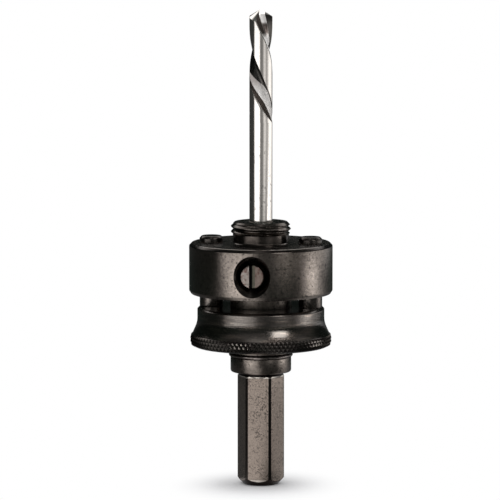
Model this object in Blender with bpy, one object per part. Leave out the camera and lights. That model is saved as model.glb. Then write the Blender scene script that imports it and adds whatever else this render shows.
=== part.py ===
"""Hole saw arbor, standing on the end of its hexagon shank, in metres with +Z up.

A turned body carries a short screw thread for the saw, a round head, a journal and a hexagon shank.
A pilot drill stands in its bore, clamped by a slotted set screw. A knurled collar slides on the
journal and carries two drive pins up through the head. A snap ring stops the collar from below, and
a wire ring in the collar's bore grips the journal, so that the collar stays where it is put.

The set screw faces -Y, the pins lie on the X axis, and one flat of the hexagon faces -Y.
"""

import math

import bmesh
import bpy
import numpy as np
from mathutils import Matrix, Vector

MM = 0.001

# Clearances
ROUND_FIT = 0.20 * MM
SEAT_GAP = 0.10 * MM
STOP_GAP = 0.10 * MM

# Hexagon shank
HEX_FLATS = 11.11 * MM
HEX_CORNERS = 12.40 * MM
HEX_LENGTH = 28.90 * MM
HEX_END_DIAMETER = 10.00 * MM
HEX_END_CHAMFER = 2.30 * MM
HEX_NECK_DIAMETER = 12.00 * MM
HEX_NECK_LENGTH = 1.30 * MM

# Journal under the head, and the groove of the snap ring
JOURNAL_DIAMETER = 16.15 * MM
JOURNAL_LENGTH = 21.00 * MM
JOURNAL_EDGE = 0.70 * MM
SNAP_RING_HEIGHT = 4.60 * MM
SNAP_RING_WIRE = 1.00 * MM
SNAP_RING_OVERLAP = 0.43 * MM
SNAP_RING_OPENING = math.radians(26)

# Head
HEAD_DIAMETER = 38.10 * MM
HEAD_THICKNESS = 13.50 * MM
HEAD_TOP_CHAMFER = 0.50 * MM
HEAD_TOP_CHAMFER_HEIGHT = 1.15 * MM
HEAD_BOTTOM_CHAMFER = 0.55 * MM
HEAD_BOTTOM_CHAMFER_HEIGHT = 0.85 * MM

# Screw thread for the saw
THREAD_DIAMETER = 15.88 * MM
THREAD_PITCH = 1.411 * MM
THREAD_DEPTH = 0.62 * MM
THREAD_LENGTH = 3.30 * MM
THREAD_CHAMFER = 0.60 * MM
THREAD_FLANK_SHARE = 0.40
THREAD_CREST_SHARE = 0.12
THREAD_NECK_DIAMETER = 14.90 * MM
THREAD_NECK_LENGTH = 2.30 * MM
THREAD_NECK_FILLET = 0.45 * MM
HELIX_HAND = -1

# Pilot drill
DRILL_DIAMETER = 6.10 * MM
DRILL_REACH = 56.40 * MM
DRILL_SOCKET_DEPTH = 25.00 * MM
DRILL_POINT_ANGLE = math.radians(118)
DRILL_FLUTE_LENGTH = 29.00 * MM
DRILL_FLUTE_RUN_OUT = 7.00 * MM
DRILL_FLUTE_WIDTH = math.radians(92)
DRILL_FLUTE_FULLNESS = 0.75
DRILL_POINT_RELIEF = 1.40 * MM
DRILL_WEB = 1.50 * MM
DRILL_LEAD = 38.00 * MM
DRILL_FLUTE_FRONT_BELOW_TIP = 21.20 * MM
DRILL_FLAT_DEPTH = 0.40 * MM
DRILL_FLAT_LENGTH = 9.00 * MM
DRILL_END_CHAMFER = 0.40 * MM
VIEW_SIDE = math.radians(-83)

# Set screw and its tapped hole
SCREW_DIAMETER = 6.25 * MM
SCREW_HEIGHT_IN_HEAD = 6.35 * MM
SCREW_FACE_RECESS = 0.85 * MM
SCREW_SLOT_WIDTH = 1.60 * MM
SCREW_SLOT_DEPTH = 1.90 * MM
SCREW_POINT_CHAMFER = 0.80 * MM
SCREW_FACE_CHAMFER = 0.20 * MM
COUNTERSINK_DIAMETER = 10.90 * MM

# Drive collar. Its lip lies inside the head's side, and its rim is wider than its pins need
COLLAR_LIFT = 1.80 * MM
COLLAR_HEIGHT = 10.50 * MM
COLLAR_RIM_PAST_PINS = 0.57 * MM
COLLAR_RIM_TAPER = 0.20 * MM
COLLAR_RIM_EDGE = 0.55 * MM
COLLAR_FLARE_HEIGHT = 3.20 * MM
COLLAR_LIP_INSET = 0.70 * MM
COLLAR_BOTTOM_EDGE = 0.80 * MM
COLLAR_BORE_EDGE = 0.40 * MM

# Knurl round the collar's lower edge, whose peaks lie just inside the head's side
KNURL_INSET = 0.30 * MM
KNURL_DEPTH = 0.38 * MM
KNURL_COUNT = 96
KNURL_ROWS = 4
KNURL_HELIX = math.radians(33.5)
KNURL_ABOVE_BOTTOM = 0.42 * MM
KNURL_LOWER_EDGE = 0.25 * MM

# Wire ring in the collar's bore
GRIP_WIRE = 1.20 * MM
GRIP_HEIGHT = 6.20 * MM
GRIP_OPENING = math.radians(20)

# Drive pins, whose circle lies a little inside the middle between the journal and the head's side
PIN_DIAMETER = 6.30 * MM
PIN_CIRCLE_INSET = 0.31 * MM
PIN_TOP_CHAMFER = 0.60 * MM
PIN_TENON_DIAMETER = 4.60 * MM
PIN_TENON_LENGTH = 7.00 * MM

# Fineness of the round surfaces
SEGMENTS = 48
SMALL_SEGMENTS = 32
WIRE_SEGMENTS = 6
FLUTE_STEPS = 34
FLUTE_POINTS = 10
LAND_POINTS = 6

# Turn of the pins and their holes, which keeps their corners off the seams of the turned parts
HALF_STEP = Matrix.Rotation(math.pi / SMALL_SEGMENTS, 4, "Z")

# Heights that follow from the sizes above
NECK_BOTTOM = HEX_LENGTH
JOURNAL_BOTTOM = NECK_BOTTOM + HEX_NECK_LENGTH
HEAD_BOTTOM = JOURNAL_BOTTOM + JOURNAL_LENGTH
HEAD_TOP = HEAD_BOTTOM + HEAD_THICKNESS
THREAD_BOTTOM = HEAD_TOP + THREAD_NECK_LENGTH
THREAD_TOP = THREAD_BOTTOM + THREAD_LENGTH
DRILL_TIP = THREAD_TOP + DRILL_REACH
SOCKET_BOTTOM = THREAD_TOP - DRILL_SOCKET_DEPTH
DRILL_BOTTOM = SOCKET_BOTTOM + SEAT_GAP
SNAP_RING_Z = JOURNAL_BOTTOM + SNAP_RING_HEIGHT
COLLAR_BOTTOM = SNAP_RING_Z + SNAP_RING_WIRE / 2 + COLLAR_LIFT
COLLAR_TOP = COLLAR_BOTTOM + COLLAR_HEIGHT
SCREW_Z = HEAD_BOTTOM + SCREW_HEIGHT_IN_HEAD
PIN_TOP = HEAD_TOP + COLLAR_LIFT - STOP_GAP

# Radii that follow from the sizes above
JOURNAL_RADIUS = JOURNAL_DIAMETER / 2
HEAD_RADIUS = HEAD_DIAMETER / 2
DRILL_RADIUS = DRILL_DIAMETER / 2
SOCKET_RADIUS = DRILL_RADIUS + ROUND_FIT
SNAP_RING_RADIUS = JOURNAL_RADIUS + SNAP_RING_OVERLAP - SNAP_RING_WIRE / 2
SNAP_GROOVE_RADIUS = SNAP_RING_RADIUS - SNAP_RING_WIRE / 2 - ROUND_FIT
SNAP_GROOVE_HALF = SNAP_RING_WIRE / 2 + SEAT_GAP
COLLAR_BORE_RADIUS = JOURNAL_RADIUS + ROUND_FIT
GRIP_RADIUS = JOURNAL_RADIUS + SEAT_GAP + GRIP_WIRE / 2
GRIP_GROOVE_RADIUS = GRIP_RADIUS + GRIP_WIRE / 2 + ROUND_FIT
GRIP_GROOVE_HALF = GRIP_WIRE / 2 + SEAT_GAP
GRIP_Z = COLLAR_BOTTOM + GRIP_HEIGHT
PIN_RADIUS = PIN_DIAMETER / 2
PIN_CIRCLE_RADIUS = (JOURNAL_RADIUS + HEAD_RADIUS) / 2 - PIN_CIRCLE_INSET
COLLAR_RIM_RADIUS = PIN_CIRCLE_RADIUS + PIN_RADIUS + COLLAR_RIM_PAST_PINS
COLLAR_LIP_RADIUS = HEAD_RADIUS - COLLAR_LIP_INSET
KNURL_RADIUS = HEAD_RADIUS - KNURL_INSET
TAPPED_RADIUS = SCREW_DIAMETER / 2 + ROUND_FIT
DRILL_FLAT_Y = DRILL_RADIUS - DRILL_FLAT_DEPTH
SCREW_POINT_Y = DRILL_FLAT_Y + SEAT_GAP
SCREW_FACE_Y = HEAD_RADIUS - SCREW_FACE_RECESS


def arc(centre, radius, start, end, steps):
    """Points of an arc in the (radius, height) plane, from one angle in degrees to another."""
    angles = np.radians(np.linspace(start, end, steps + 1))
    return [(centre[0] + radius * math.cos(a), centre[1] + radius * math.sin(a)) for a in angles]


def new_object(name, bm, matrix=None):
    """Turn a closed bmesh into an object with its faces pointing out."""
    bmesh.ops.recalc_face_normals(bm, faces=bm.faces)
    if matrix is not None:
        bm.transform(matrix)
    mesh = bpy.data.meshes.new(name)
    bm.to_mesh(mesh)
    bm.free()
    obj = bpy.data.objects.new(name, mesh)
    bpy.context.scene.collection.objects.link(obj)
    return obj


def bridge(bm, lower, upper):
    """Faces between two rings that start at the same angle. Their counts may differ, or be one pole."""
    low_count = len(lower)
    high_count = len(upper)
    if low_count == high_count:
        for i in range(low_count):
            after = (i + 1) % low_count
            bm.faces.new((lower[i], lower[after], upper[after], upper[i]))
        return
    i = 0
    j = 0
    while i < low_count or j < high_count:
        low_step = low_count > 1 and (i + 0.5) / low_count <= (j + 0.5) / high_count
        if low_step or high_count == 1:
            bm.faces.new((lower[i % low_count], lower[(i + 1) % low_count], upper[j % high_count]))
            i += 1
        else:
            bm.faces.new((lower[i % low_count], upper[(j + 1) % high_count], upper[j % high_count]))
            j += 1
        if (low_count == 1 and j == high_count) or (high_count == 1 and i == low_count):
            return


def ring_of(bm, radius, height, segments):
    """A ring of points about the Z axis, or one point where the radius is zero."""
    if radius == 0:
        return [bm.verts.new((0, 0, height))]
    turn = 2 * math.pi / segments
    return [
        bm.verts.new((radius * math.cos(i * turn), radius * math.sin(i * turn), height))
        for i in range(segments)
    ]


def revolve(name, profile, segments, matrix=None):
    """Turn a list of (radius, height), which starts and ends on the Z axis, into a closed solid."""
    bm = bmesh.new()
    rings = [ring_of(bm, radius, height, segments) for radius, height in profile]
    for lower, upper in zip(rings, rings[1:]):
        bridge(bm, lower, upper)
    return new_object(name, bm, matrix)


def wire_ring(name, radius, wire_radius, height, opening, middle):
    """An open ring of round wire. Its gap of the given angle is centred on the angle middle."""
    angles = np.linspace(middle + opening / 2, middle + 2 * math.pi - opening / 2, SEGMENTS + 1)
    bm = bmesh.new()
    rings = []
    for angle in angles:
        ring = []
        for j in range(WIRE_SEGMENTS):
            around = 2 * math.pi * j / WIRE_SEGMENTS
            out = radius + wire_radius * math.cos(around)
            place = (out * math.cos(angle), out * math.sin(angle), height + wire_radius * math.sin(around))
            ring.append(bm.verts.new(place))
        rings.append(ring)
    for lower, upper in zip(rings, rings[1:]):
        bridge(bm, lower, upper)
    bm.faces.new(rings[0])
    bm.faces.new(rings[-1])
    return new_object(name, bm)


def combine(target, tool, operation):
    """Apply a Boolean of target with tool, and remove the tool."""
    tool.hide_render = True
    tool.display_type = "WIRE"
    modifier = target.modifiers.new(operation.lower(), "BOOLEAN")
    modifier.operation = operation
    modifier.solver = "EXACT"
    modifier.object = tool
    graph = bpy.context.evaluated_depsgraph_get()
    graph.update()
    result = bpy.data.meshes.new_from_object(target.evaluated_get(graph))
    target.modifiers.clear()
    old = target.data
    result.name = old.name
    target.data = result
    bpy.data.meshes.remove(old)
    bpy.data.objects.remove(tool)


def metal(name, colour, roughness):
    """A steel finish for one piece."""
    material = bpy.data.materials.new(name)
    material.use_nodes = True
    shader = material.node_tree.nodes["Principled BSDF"]
    shader.inputs["Base Color"].default_value = (*colour, 1.0)
    shader.inputs["Roughness"].default_value = roughness
    shader.inputs["Metallic"].default_value = 1.0
    material.diffuse_color = (*colour, 1.0)
    return material


def finish(obj, material, origin=(0, 0, 0), angle=35):
    """Give a piece its finish and smooth round faces, and put its origin on its axis."""
    obj.data.materials.clear()
    obj.data.materials.append(material)
    obj.data.transform(Matrix.Translation(-Vector(origin)))
    obj.location = origin
    obj.data.shade_smooth()
    obj.data.set_sharp_from_angle(angle=math.radians(angle))


def hexagon_shank():
    """Hexagon bar whose corners are turned down, with a long chamfer on the end that it stands on."""
    bm = bmesh.new()
    corner = HEX_FLATS / 2 / math.cos(math.pi / 6)
    rings = []
    for height in (0, HEX_LENGTH + HEX_NECK_LENGTH / 2):
        rings.append([
            bm.verts.new((corner * math.cos(i * math.pi / 3), corner * math.sin(i * math.pi / 3), height))
            for i in range(6)
        ])
    bridge(bm, rings[0], rings[1])
    bm.faces.new(rings[0])
    bm.faces.new(rings[1])
    bar = new_object("hexagon_bar", bm)
    taper = (HEX_CORNERS - HEX_NECK_DIAMETER) / 2
    envelope = revolve(
        "hexagon_envelope",
        [
            (0, 0),
            (HEX_END_DIAMETER / 2, 0),
            (HEX_CORNERS / 2, HEX_END_CHAMFER),
            (HEX_CORNERS / 2, HEX_LENGTH - taper),
            (HEX_NECK_DIAMETER / 2, HEX_LENGTH),
            (0, HEX_LENGTH),
        ],
        SEGMENTS + SMALL_SEGMENTS,
    )
    combine(bar, envelope, "INTERSECT")
    return bar


def thread():
    """Screw thread as a solid: four lines run along the helix, two on the crest and two in the root."""
    crest = THREAD_DIAMETER / 2
    root = crest - THREAD_DEPTH
    lines = [
        (root, 0),
        (crest, THREAD_FLANK_SHARE),
        (crest, THREAD_FLANK_SHARE + THREAD_CREST_SHARE),
        (root, 2 * THREAD_FLANK_SHARE + THREAD_CREST_SHARE),
    ]
    start = THREAD_BOTTOM - 2 * THREAD_PITCH
    turns = math.ceil((THREAD_TOP - start) / THREAD_PITCH) + 2
    steps = turns * SEGMENTS
    bm = bmesh.new()
    helix = []
    for radius, share in lines:
        row = []
        for t in range(steps + 1):
            angle = HELIX_HAND * 2 * math.pi * t / SEGMENTS
            height = start + THREAD_PITCH * (t / SEGMENTS + share)
            row.append(bm.verts.new((radius * math.cos(angle), radius * math.sin(angle), height)))
        helix.append(row)
    for lower, upper in zip(helix, helix[1:]):
        for t in range(steps):
            bm.faces.new((lower[t], lower[t + 1], upper[t + 1], upper[t]))
    for t in range(steps - SEGMENTS):
        lower, upper = helix[-1], helix[0]
        bm.faces.new((lower[t], lower[t + 1], upper[t + 1 + SEGMENTS], upper[t + SEGMENTS]))
    first_turn = helix[0][: SEGMENTS + 1] + [helix[m][0] for m in (3, 2, 1)]
    last_turn = helix[3][steps - SEGMENTS:] + [helix[m][steps] for m in (2, 1, 0)]
    bottom = bm.verts.new((0, 0, start - THREAD_PITCH))
    top = bm.verts.new((0, 0, start + THREAD_PITCH * (turns + 2)))
    for centre, loop in ((bottom, first_turn), (top, last_turn)):
        for vert, after in zip(loop, loop[1:] + loop[:1]):
            bm.faces.new((centre, vert, after))
    solid = new_object("thread_helix", bm)
    inside_neck = THREAD_NECK_DIAMETER / 2 - THREAD_DEPTH
    envelope = revolve(
        "thread_envelope",
        [
            (0, THREAD_BOTTOM - THREAD_NECK_LENGTH / 2),
            (inside_neck, THREAD_BOTTOM - THREAD_NECK_LENGTH / 2),
            (inside_neck, THREAD_BOTTOM - THREAD_DEPTH),
            (crest + ROUND_FIT, THREAD_BOTTOM + ROUND_FIT),
            (crest + ROUND_FIT, THREAD_TOP - THREAD_CHAMFER - ROUND_FIT),
            (crest - THREAD_CHAMFER, THREAD_TOP),
            (0, THREAD_TOP),
        ],
        SEGMENTS,
    )
    combine(solid, envelope, "INTERSECT")
    return solid


def body_profile():
    """Outline of the turned part, from the axis under the journal up to the neck below the thread."""
    ring_low = SNAP_RING_Z - SNAP_GROOVE_HALF
    ring_high = SNAP_RING_Z + SNAP_GROOVE_HALF
    neck = THREAD_NECK_DIAMETER / 2
    fillet = (neck + THREAD_NECK_FILLET, HEAD_TOP + THREAD_NECK_FILLET)
    edge = (JOURNAL_RADIUS - JOURNAL_EDGE, JOURNAL_BOTTOM + JOURNAL_EDGE)
    return [
        (0, NECK_BOTTOM - HEX_NECK_LENGTH),
        (HEX_FLATS / 2 - HEX_NECK_LENGTH / 2, NECK_BOTTOM - HEX_NECK_LENGTH),
        (HEX_NECK_DIAMETER / 2, NECK_BOTTOM),
        (HEX_NECK_DIAMETER / 2, JOURNAL_BOTTOM),
        *arc(edge, JOURNAL_EDGE, -90, 0, 3),
        (JOURNAL_RADIUS, ring_low),
        (SNAP_GROOVE_RADIUS, ring_low),
        (SNAP_GROOVE_RADIUS, ring_high),
        (JOURNAL_RADIUS, ring_high),
        (JOURNAL_RADIUS, HEAD_BOTTOM),
        (HEAD_RADIUS - HEAD_BOTTOM_CHAMFER, HEAD_BOTTOM),
        (HEAD_RADIUS, HEAD_BOTTOM + HEAD_BOTTOM_CHAMFER_HEIGHT),
        (HEAD_RADIUS, HEAD_TOP - HEAD_TOP_CHAMFER_HEIGHT),
        (HEAD_RADIUS - HEAD_TOP_CHAMFER, HEAD_TOP),
        *arc(fillet, THREAD_NECK_FILLET, 270, 180, 3),
        (neck, THREAD_BOTTOM - THREAD_DEPTH / 2),
        (neck - THREAD_DEPTH / 2, THREAD_BOTTOM),
        (0, THREAD_BOTTOM),
    ]


def set_screw_hole():
    """Cutter of the tapped hole that runs from the drill's bore out to its countersink."""
    cone_start = HEAD_RADIUS - COUNTERSINK_DIAMETER / 2
    outside = HEAD_RADIUS + 2 * SCREW_FACE_RECESS
    toward_front = Matrix.Translation((0, 0, SCREW_Z)) @ Matrix.Rotation(math.pi / 2, 4, "X")
    return revolve(
        "set_screw_hole",
        [
            (0, DRILL_RADIUS / 2),
            (TAPPED_RADIUS, DRILL_RADIUS / 2),
            (TAPPED_RADIUS, cone_start + TAPPED_RADIUS),
            (outside - cone_start, outside),
            (0, outside),
        ],
        SEGMENTS,
        matrix=toward_front,
    )


def arbor_body():
    """Body in one piece: shank, journal, head and thread, less the bore and the holes."""
    body = revolve("arbor_body", body_profile(), SEGMENTS)
    combine(body, hexagon_shank(), "UNION")
    combine(body, thread(), "UNION")
    socket = revolve(
        "drill_socket",
        [
            (0, SOCKET_BOTTOM - SOCKET_RADIUS / 2),
            (SOCKET_RADIUS, SOCKET_BOTTOM),
            (SOCKET_RADIUS, THREAD_TOP - ROUND_FIT),
            (SOCKET_RADIUS + 2 * ROUND_FIT, THREAD_TOP + ROUND_FIT),
            (0, THREAD_TOP + ROUND_FIT),
        ],
        SMALL_SEGMENTS,
    )
    combine(body, socket, "DIFFERENCE")
    combine(body, set_screw_hole(), "DIFFERENCE")
    for side in (-1, 1):
        place = Matrix.Translation((side * PIN_CIRCLE_RADIUS, 0, 0)) @ HALF_STEP
        hole_radius = PIN_RADIUS + ROUND_FIT
        hole = revolve(
            "pin_hole",
            [
                (0, HEAD_BOTTOM - ROUND_FIT),
                (hole_radius, HEAD_BOTTOM - ROUND_FIT),
                (hole_radius, HEAD_TOP + ROUND_FIT),
                (0, HEAD_TOP + ROUND_FIT),
            ],
            SMALL_SEGMENTS,
            matrix=place,
        )
        combine(body, hole, "DIFFERENCE")
    finish(body, metal("black_oxide_body", (0.075, 0.062, 0.055), 0.38))
    return body


def drill_section(depth_share):
    """Angles, radii and heel shares of the drill's cross-section: two flutes, each with its land.

    The heel share is 0 at a land's leading edge and 1 at its heel, and the point is ground lower there.
    """
    land = math.pi - DRILL_FLUTE_WIDTH
    points = []
    for side in (0, math.pi):
        for i in range(FLUTE_POINTS):
            share = i / FLUTE_POINTS
            dip = math.sin(math.pi * share) ** DRILL_FLUTE_FULLNESS
            radius = DRILL_RADIUS - depth_share * dip * (DRILL_RADIUS - DRILL_WEB / 2)
            angle = side + DRILL_FLUTE_WIDTH * (share - 0.5)
            points.append((angle, radius, (1 - share) ** 2 * radius / DRILL_RADIUS))
        for i in range(LAND_POINTS):
            share = i / LAND_POINTS
            points.append((side + DRILL_FLUTE_WIDTH / 2 + land * share, DRILL_RADIUS, share))
    return np.array(points).T


def pilot_drill():
    """Twist drill: a section with two flutes turns along the helix, and the flutes deepen upwards."""
    slope = 1 / math.tan(DRILL_POINT_ANGLE / 2)
    shoulder = DRILL_TIP - DRILL_RADIUS * slope - DRILL_POINT_RELIEF
    flute_end = DRILL_TIP - DRILL_FLUTE_LENGTH
    front_height = DRILL_TIP - DRILL_FLUTE_FRONT_BELOW_TIP
    bm = bmesh.new()

    def section(depth_share, height, narrower=0.0, on_point=False):
        """A ring of the section, turned along the helix. On the point its heights follow the grind."""
        angles, radii, heel = drill_section(depth_share)
        radii = radii - narrower
        ground = DRILL_TIP - radii * slope - DRILL_POINT_RELIEF * heel
        heights = ground if on_point else np.full(len(radii), height)
        along_helix = np.maximum(heights, flute_end) - front_height
        turned = VIEW_SIDE + angles + HELIX_HAND * 2 * math.pi * along_helix / DRILL_LEAD
        places = zip(radii * np.cos(turned), radii * np.sin(turned), heights)
        return [bm.verts.new(place) for place in places]

    rings = [
        [bm.verts.new((0, 0, DRILL_BOTTOM))],
        section(0, DRILL_BOTTOM, narrower=DRILL_END_CHAMFER),
        section(0, DRILL_BOTTOM + DRILL_END_CHAMFER),
    ]
    for height in np.linspace(flute_end, shoulder, FLUTE_STEPS + 1)[:-1]:
        run = min(1.0, (height - flute_end) / DRILL_FLUTE_RUN_OUT)
        rings.append(section(math.sin(run * math.pi / 2), height))
    rings.append(section(1, DRILL_TIP, on_point=True))
    rings.append([bm.verts.new((0, 0, DRILL_TIP))])
    for lower, upper in zip(rings, rings[1:]):
        bridge(bm, lower, upper)
    drill = new_object("pilot_drill", bm)

    bm = bmesh.new()
    bmesh.ops.create_cube(bm, size=1)
    bm.transform(Matrix.Diagonal((DRILL_DIAMETER, DRILL_DIAMETER, DRILL_FLAT_LENGTH, 1)))
    flat = new_object("drill_flat", bm, Matrix.Translation((0, -DRILL_FLAT_Y - DRILL_RADIUS, SCREW_Z)))
    combine(drill, flat, "DIFFERENCE")
    finish(drill, metal("bright_drill_steel", (0.62, 0.60, 0.58), 0.22))
    return drill


def set_screw():
    """Slotted set screw. Its origin lies on its own axis, at the middle of its length."""
    radius = SCREW_DIAMETER / 2
    toward_front = Matrix.Translation((0, 0, SCREW_Z)) @ Matrix.Rotation(math.pi / 2, 4, "X")
    screw = revolve(
        "set_screw",
        [
            (0, SCREW_POINT_Y),
            (radius - SCREW_POINT_CHAMFER, SCREW_POINT_Y),
            (radius, SCREW_POINT_Y + SCREW_POINT_CHAMFER),
            (radius, SCREW_FACE_Y - SCREW_FACE_CHAMFER),
            (radius - SCREW_FACE_CHAMFER, SCREW_FACE_Y),
            (0, SCREW_FACE_Y),
        ],
        SMALL_SEGMENTS,
        matrix=toward_front,
    )
    bm = bmesh.new()
    bmesh.ops.create_cube(bm, size=1)
    bm.transform(Matrix.Diagonal((SCREW_SLOT_WIDTH, 2 * SCREW_SLOT_DEPTH, 2 * SCREW_DIAMETER, 1)))
    slot = new_object("screw_slot", bm, Matrix.Translation((0, -SCREW_FACE_Y, SCREW_Z)))
    combine(screw, slot, "DIFFERENCE")
    middle = -(SCREW_POINT_Y + SCREW_FACE_Y) / 2
    finish(screw, metal("worn_screw_steel", (0.30, 0.28, 0.26), 0.42), origin=(0, middle, SCREW_Z))
    return screw


def drive_collar():
    """Bell shaped collar: a turned rim, a hollow flare, and a diamond knurl round its lower edge."""
    rim = COLLAR_RIM_RADIUS
    row_height = math.pi * KNURL_RADIUS / KNURL_COUNT / math.tan(KNURL_HELIX)
    knurl_bottom = COLLAR_BOTTOM + KNURL_ABOVE_BOTTOM
    knurl_top = knurl_bottom + (KNURL_ROWS - 1) * row_height
    flare_top = knurl_top + COLLAR_FLARE_HEIGHT
    flare_out = COLLAR_LIP_RADIUS - rim
    flare_radius = (COLLAR_FLARE_HEIGHT ** 2 + flare_out ** 2) / (2 * flare_out)
    sweep = math.degrees(2 * math.atan2(flare_out, COLLAR_FLARE_HEIGHT))
    flare = arc((rim + flare_radius, flare_top), flare_radius, 180 + sweep, 180, 5)
    inner = [
        (GRIP_GROOVE_RADIUS, GRIP_Z + GRIP_GROOVE_HALF),
        (GRIP_GROOVE_RADIUS, GRIP_Z - GRIP_GROOVE_HALF),
    ]
    bottom = [
        (COLLAR_BORE_RADIUS, GRIP_Z - GRIP_GROOVE_HALF),
        (COLLAR_BORE_RADIUS, COLLAR_BOTTOM + COLLAR_BORE_EDGE),
        (COLLAR_BORE_RADIUS + COLLAR_BORE_EDGE, COLLAR_BOTTOM),
        (COLLAR_LIP_RADIUS - COLLAR_BOTTOM_EDGE, COLLAR_BOTTOM),
    ]
    top = [
        (rim - COLLAR_RIM_TAPER, COLLAR_TOP - COLLAR_RIM_EDGE),
        (rim - COLLAR_RIM_TAPER - COLLAR_RIM_EDGE, COLLAR_TOP),
        (COLLAR_BORE_RADIUS + COLLAR_BORE_EDGE, COLLAR_TOP),
        (COLLAR_BORE_RADIUS, COLLAR_TOP - COLLAR_BORE_EDGE),
        (COLLAR_BORE_RADIUS, GRIP_Z + GRIP_GROOVE_HALF),
    ]
    bm = bmesh.new()
    rings = [ring_of(bm, radius, height, SEGMENTS) for radius, height in inner + bottom]
    columns = 2 * KNURL_COUNT
    for row in range(KNURL_ROWS):
        ring = []
        height = knurl_bottom + row * row_height
        narrower = KNURL_LOWER_EDGE if row == 0 else 0
        for i in range(columns):
            raised = (i + row) % 2 == 0
            radius = KNURL_RADIUS - narrower - (0 if raised else KNURL_DEPTH)
            angle = 2 * math.pi * i / columns
            ring.append(bm.verts.new((radius * math.cos(angle), radius * math.sin(angle), height)))
        rings.append(ring)
    rings += [ring_of(bm, radius, height, SEGMENTS) for radius, height in flare + top]
    first_row = len(inner + bottom)
    for i, (lower, upper) in enumerate(zip(rings, rings[1:] + rings[:1])):
        if first_row <= i < first_row + KNURL_ROWS - 1:
            diamond_faces(bm, lower, upper, i - first_row)
        else:
            bridge(bm, lower, upper)
    collar = new_object("drive_collar", bm)
    for side in (-1, 1):
        radius = PIN_TENON_DIAMETER / 2 + ROUND_FIT
        hole = revolve(
            "tenon_hole",
            [
                (0, COLLAR_TOP - PIN_TENON_LENGTH - SEAT_GAP),
                (radius, COLLAR_TOP - PIN_TENON_LENGTH - SEAT_GAP),
                (radius, COLLAR_TOP + ROUND_FIT),
                (0, COLLAR_TOP + ROUND_FIT),
            ],
            SMALL_SEGMENTS,
            matrix=Matrix.Translation((side * PIN_CIRCLE_RADIUS, 0, 0)) @ HALF_STEP,
        )
        combine(collar, hole, "DIFFERENCE")
    finish(collar, metal("black_oxide_collar", (0.060, 0.055, 0.052), 0.33), origin=(0, 0, COLLAR_BOTTOM))
    return collar


def diamond_faces(bm, lower, upper, row):
    """Faces between two rows of the knurl. Each cell folds along the groove between two peaks."""
    count = len(lower)
    for i in range(count):
        after = (i + 1) % count
        starts_on_peak = (i + row) % 2 == 0
        if starts_on_peak:
            bm.faces.new((lower[i], lower[after], upper[i]))
            bm.faces.new((lower[after], upper[after], upper[i]))
        else:
            bm.faces.new((lower[i], lower[after], upper[after]))
            bm.faces.new((lower[i], upper[after], upper[i]))


def drive_pin(name, side):
    """Drive pin whose shoulder stands on the collar and whose tenon is pressed into it."""
    tenon = PIN_TENON_DIAMETER / 2
    pin = revolve(
        name,
        [
            (0, COLLAR_TOP - PIN_TENON_LENGTH),
            (tenon, COLLAR_TOP - PIN_TENON_LENGTH),
            (tenon, COLLAR_TOP + SEAT_GAP),
            (PIN_RADIUS, COLLAR_TOP + SEAT_GAP),
            (PIN_RADIUS, PIN_TOP - PIN_TOP_CHAMFER),
            (PIN_RADIUS - PIN_TOP_CHAMFER, PIN_TOP),
            (0, PIN_TOP),
        ],
        SMALL_SEGMENTS,
        matrix=Matrix.Translation((side * PIN_CIRCLE_RADIUS, 0, 0)) @ HALF_STEP,
    )
    origin = (side * PIN_CIRCLE_RADIUS, 0, COLLAR_TOP)
    finish(pin, metal(name + "_steel", (0.085, 0.075, 0.068), 0.40), origin=origin)
    return pin


def build():
    """Empty the scene and make every piece of the arbor."""
    for old in list(bpy.data.objects):
        bpy.data.objects.remove(old)
    arbor_body()
    pilot_drill()
    set_screw()
    drive_collar()
    drive_pin("drive_pin_left", -1)
    drive_pin("drive_pin_right", 1)
    spring_steel = metal("spring_wire", (0.14, 0.13, 0.12), 0.35)
    snap_ring = wire_ring(
        "snap_ring", SNAP_RING_RADIUS, SNAP_RING_WIRE / 2, SNAP_RING_Z, SNAP_RING_OPENING, math.pi / 2
    )
    finish(snap_ring, spring_steel)
    grip_ring = wire_ring("grip_ring", GRIP_RADIUS, GRIP_WIRE / 2, GRIP_Z, GRIP_OPENING, math.pi / 2)
    finish(grip_ring, spring_steel, origin=(0, 0, COLLAR_BOTTOM))


build()
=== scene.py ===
"""Hole saw arbor: the finish of every piece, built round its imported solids.

A blackened steel body stands on its hexagon shank. A bright twist drill stands in its bore, a slotted
screw clamps the drill, and a knurled collar with two drive pins slides on the journal.
"""

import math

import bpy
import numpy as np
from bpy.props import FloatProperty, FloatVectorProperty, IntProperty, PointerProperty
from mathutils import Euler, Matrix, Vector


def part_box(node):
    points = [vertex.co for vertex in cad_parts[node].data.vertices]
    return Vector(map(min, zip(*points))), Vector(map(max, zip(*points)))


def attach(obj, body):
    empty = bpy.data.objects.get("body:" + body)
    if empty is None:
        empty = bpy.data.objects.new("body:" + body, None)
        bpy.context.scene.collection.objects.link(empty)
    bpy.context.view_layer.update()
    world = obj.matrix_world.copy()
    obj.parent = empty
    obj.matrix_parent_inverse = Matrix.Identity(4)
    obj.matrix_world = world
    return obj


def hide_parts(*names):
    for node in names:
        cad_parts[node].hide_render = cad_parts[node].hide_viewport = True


bl_info = {
    "name": "Hole Saw Arbor",
    "version": (1, 0, 0),
    "blender": (4, 5, 0),
    "location": "3D View > Sidebar > Arbor",
    "description": "Builds the turned, knurled, ground and blackened surfaces of a hole saw arbor",
    "category": "Mesh",
}

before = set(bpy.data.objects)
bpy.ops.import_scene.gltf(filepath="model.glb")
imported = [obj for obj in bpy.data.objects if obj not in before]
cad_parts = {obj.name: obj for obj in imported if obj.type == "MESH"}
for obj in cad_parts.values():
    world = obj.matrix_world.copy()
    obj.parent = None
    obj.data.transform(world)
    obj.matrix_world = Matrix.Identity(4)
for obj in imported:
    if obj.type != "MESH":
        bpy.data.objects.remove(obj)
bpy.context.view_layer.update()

MM = 0.001

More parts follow.
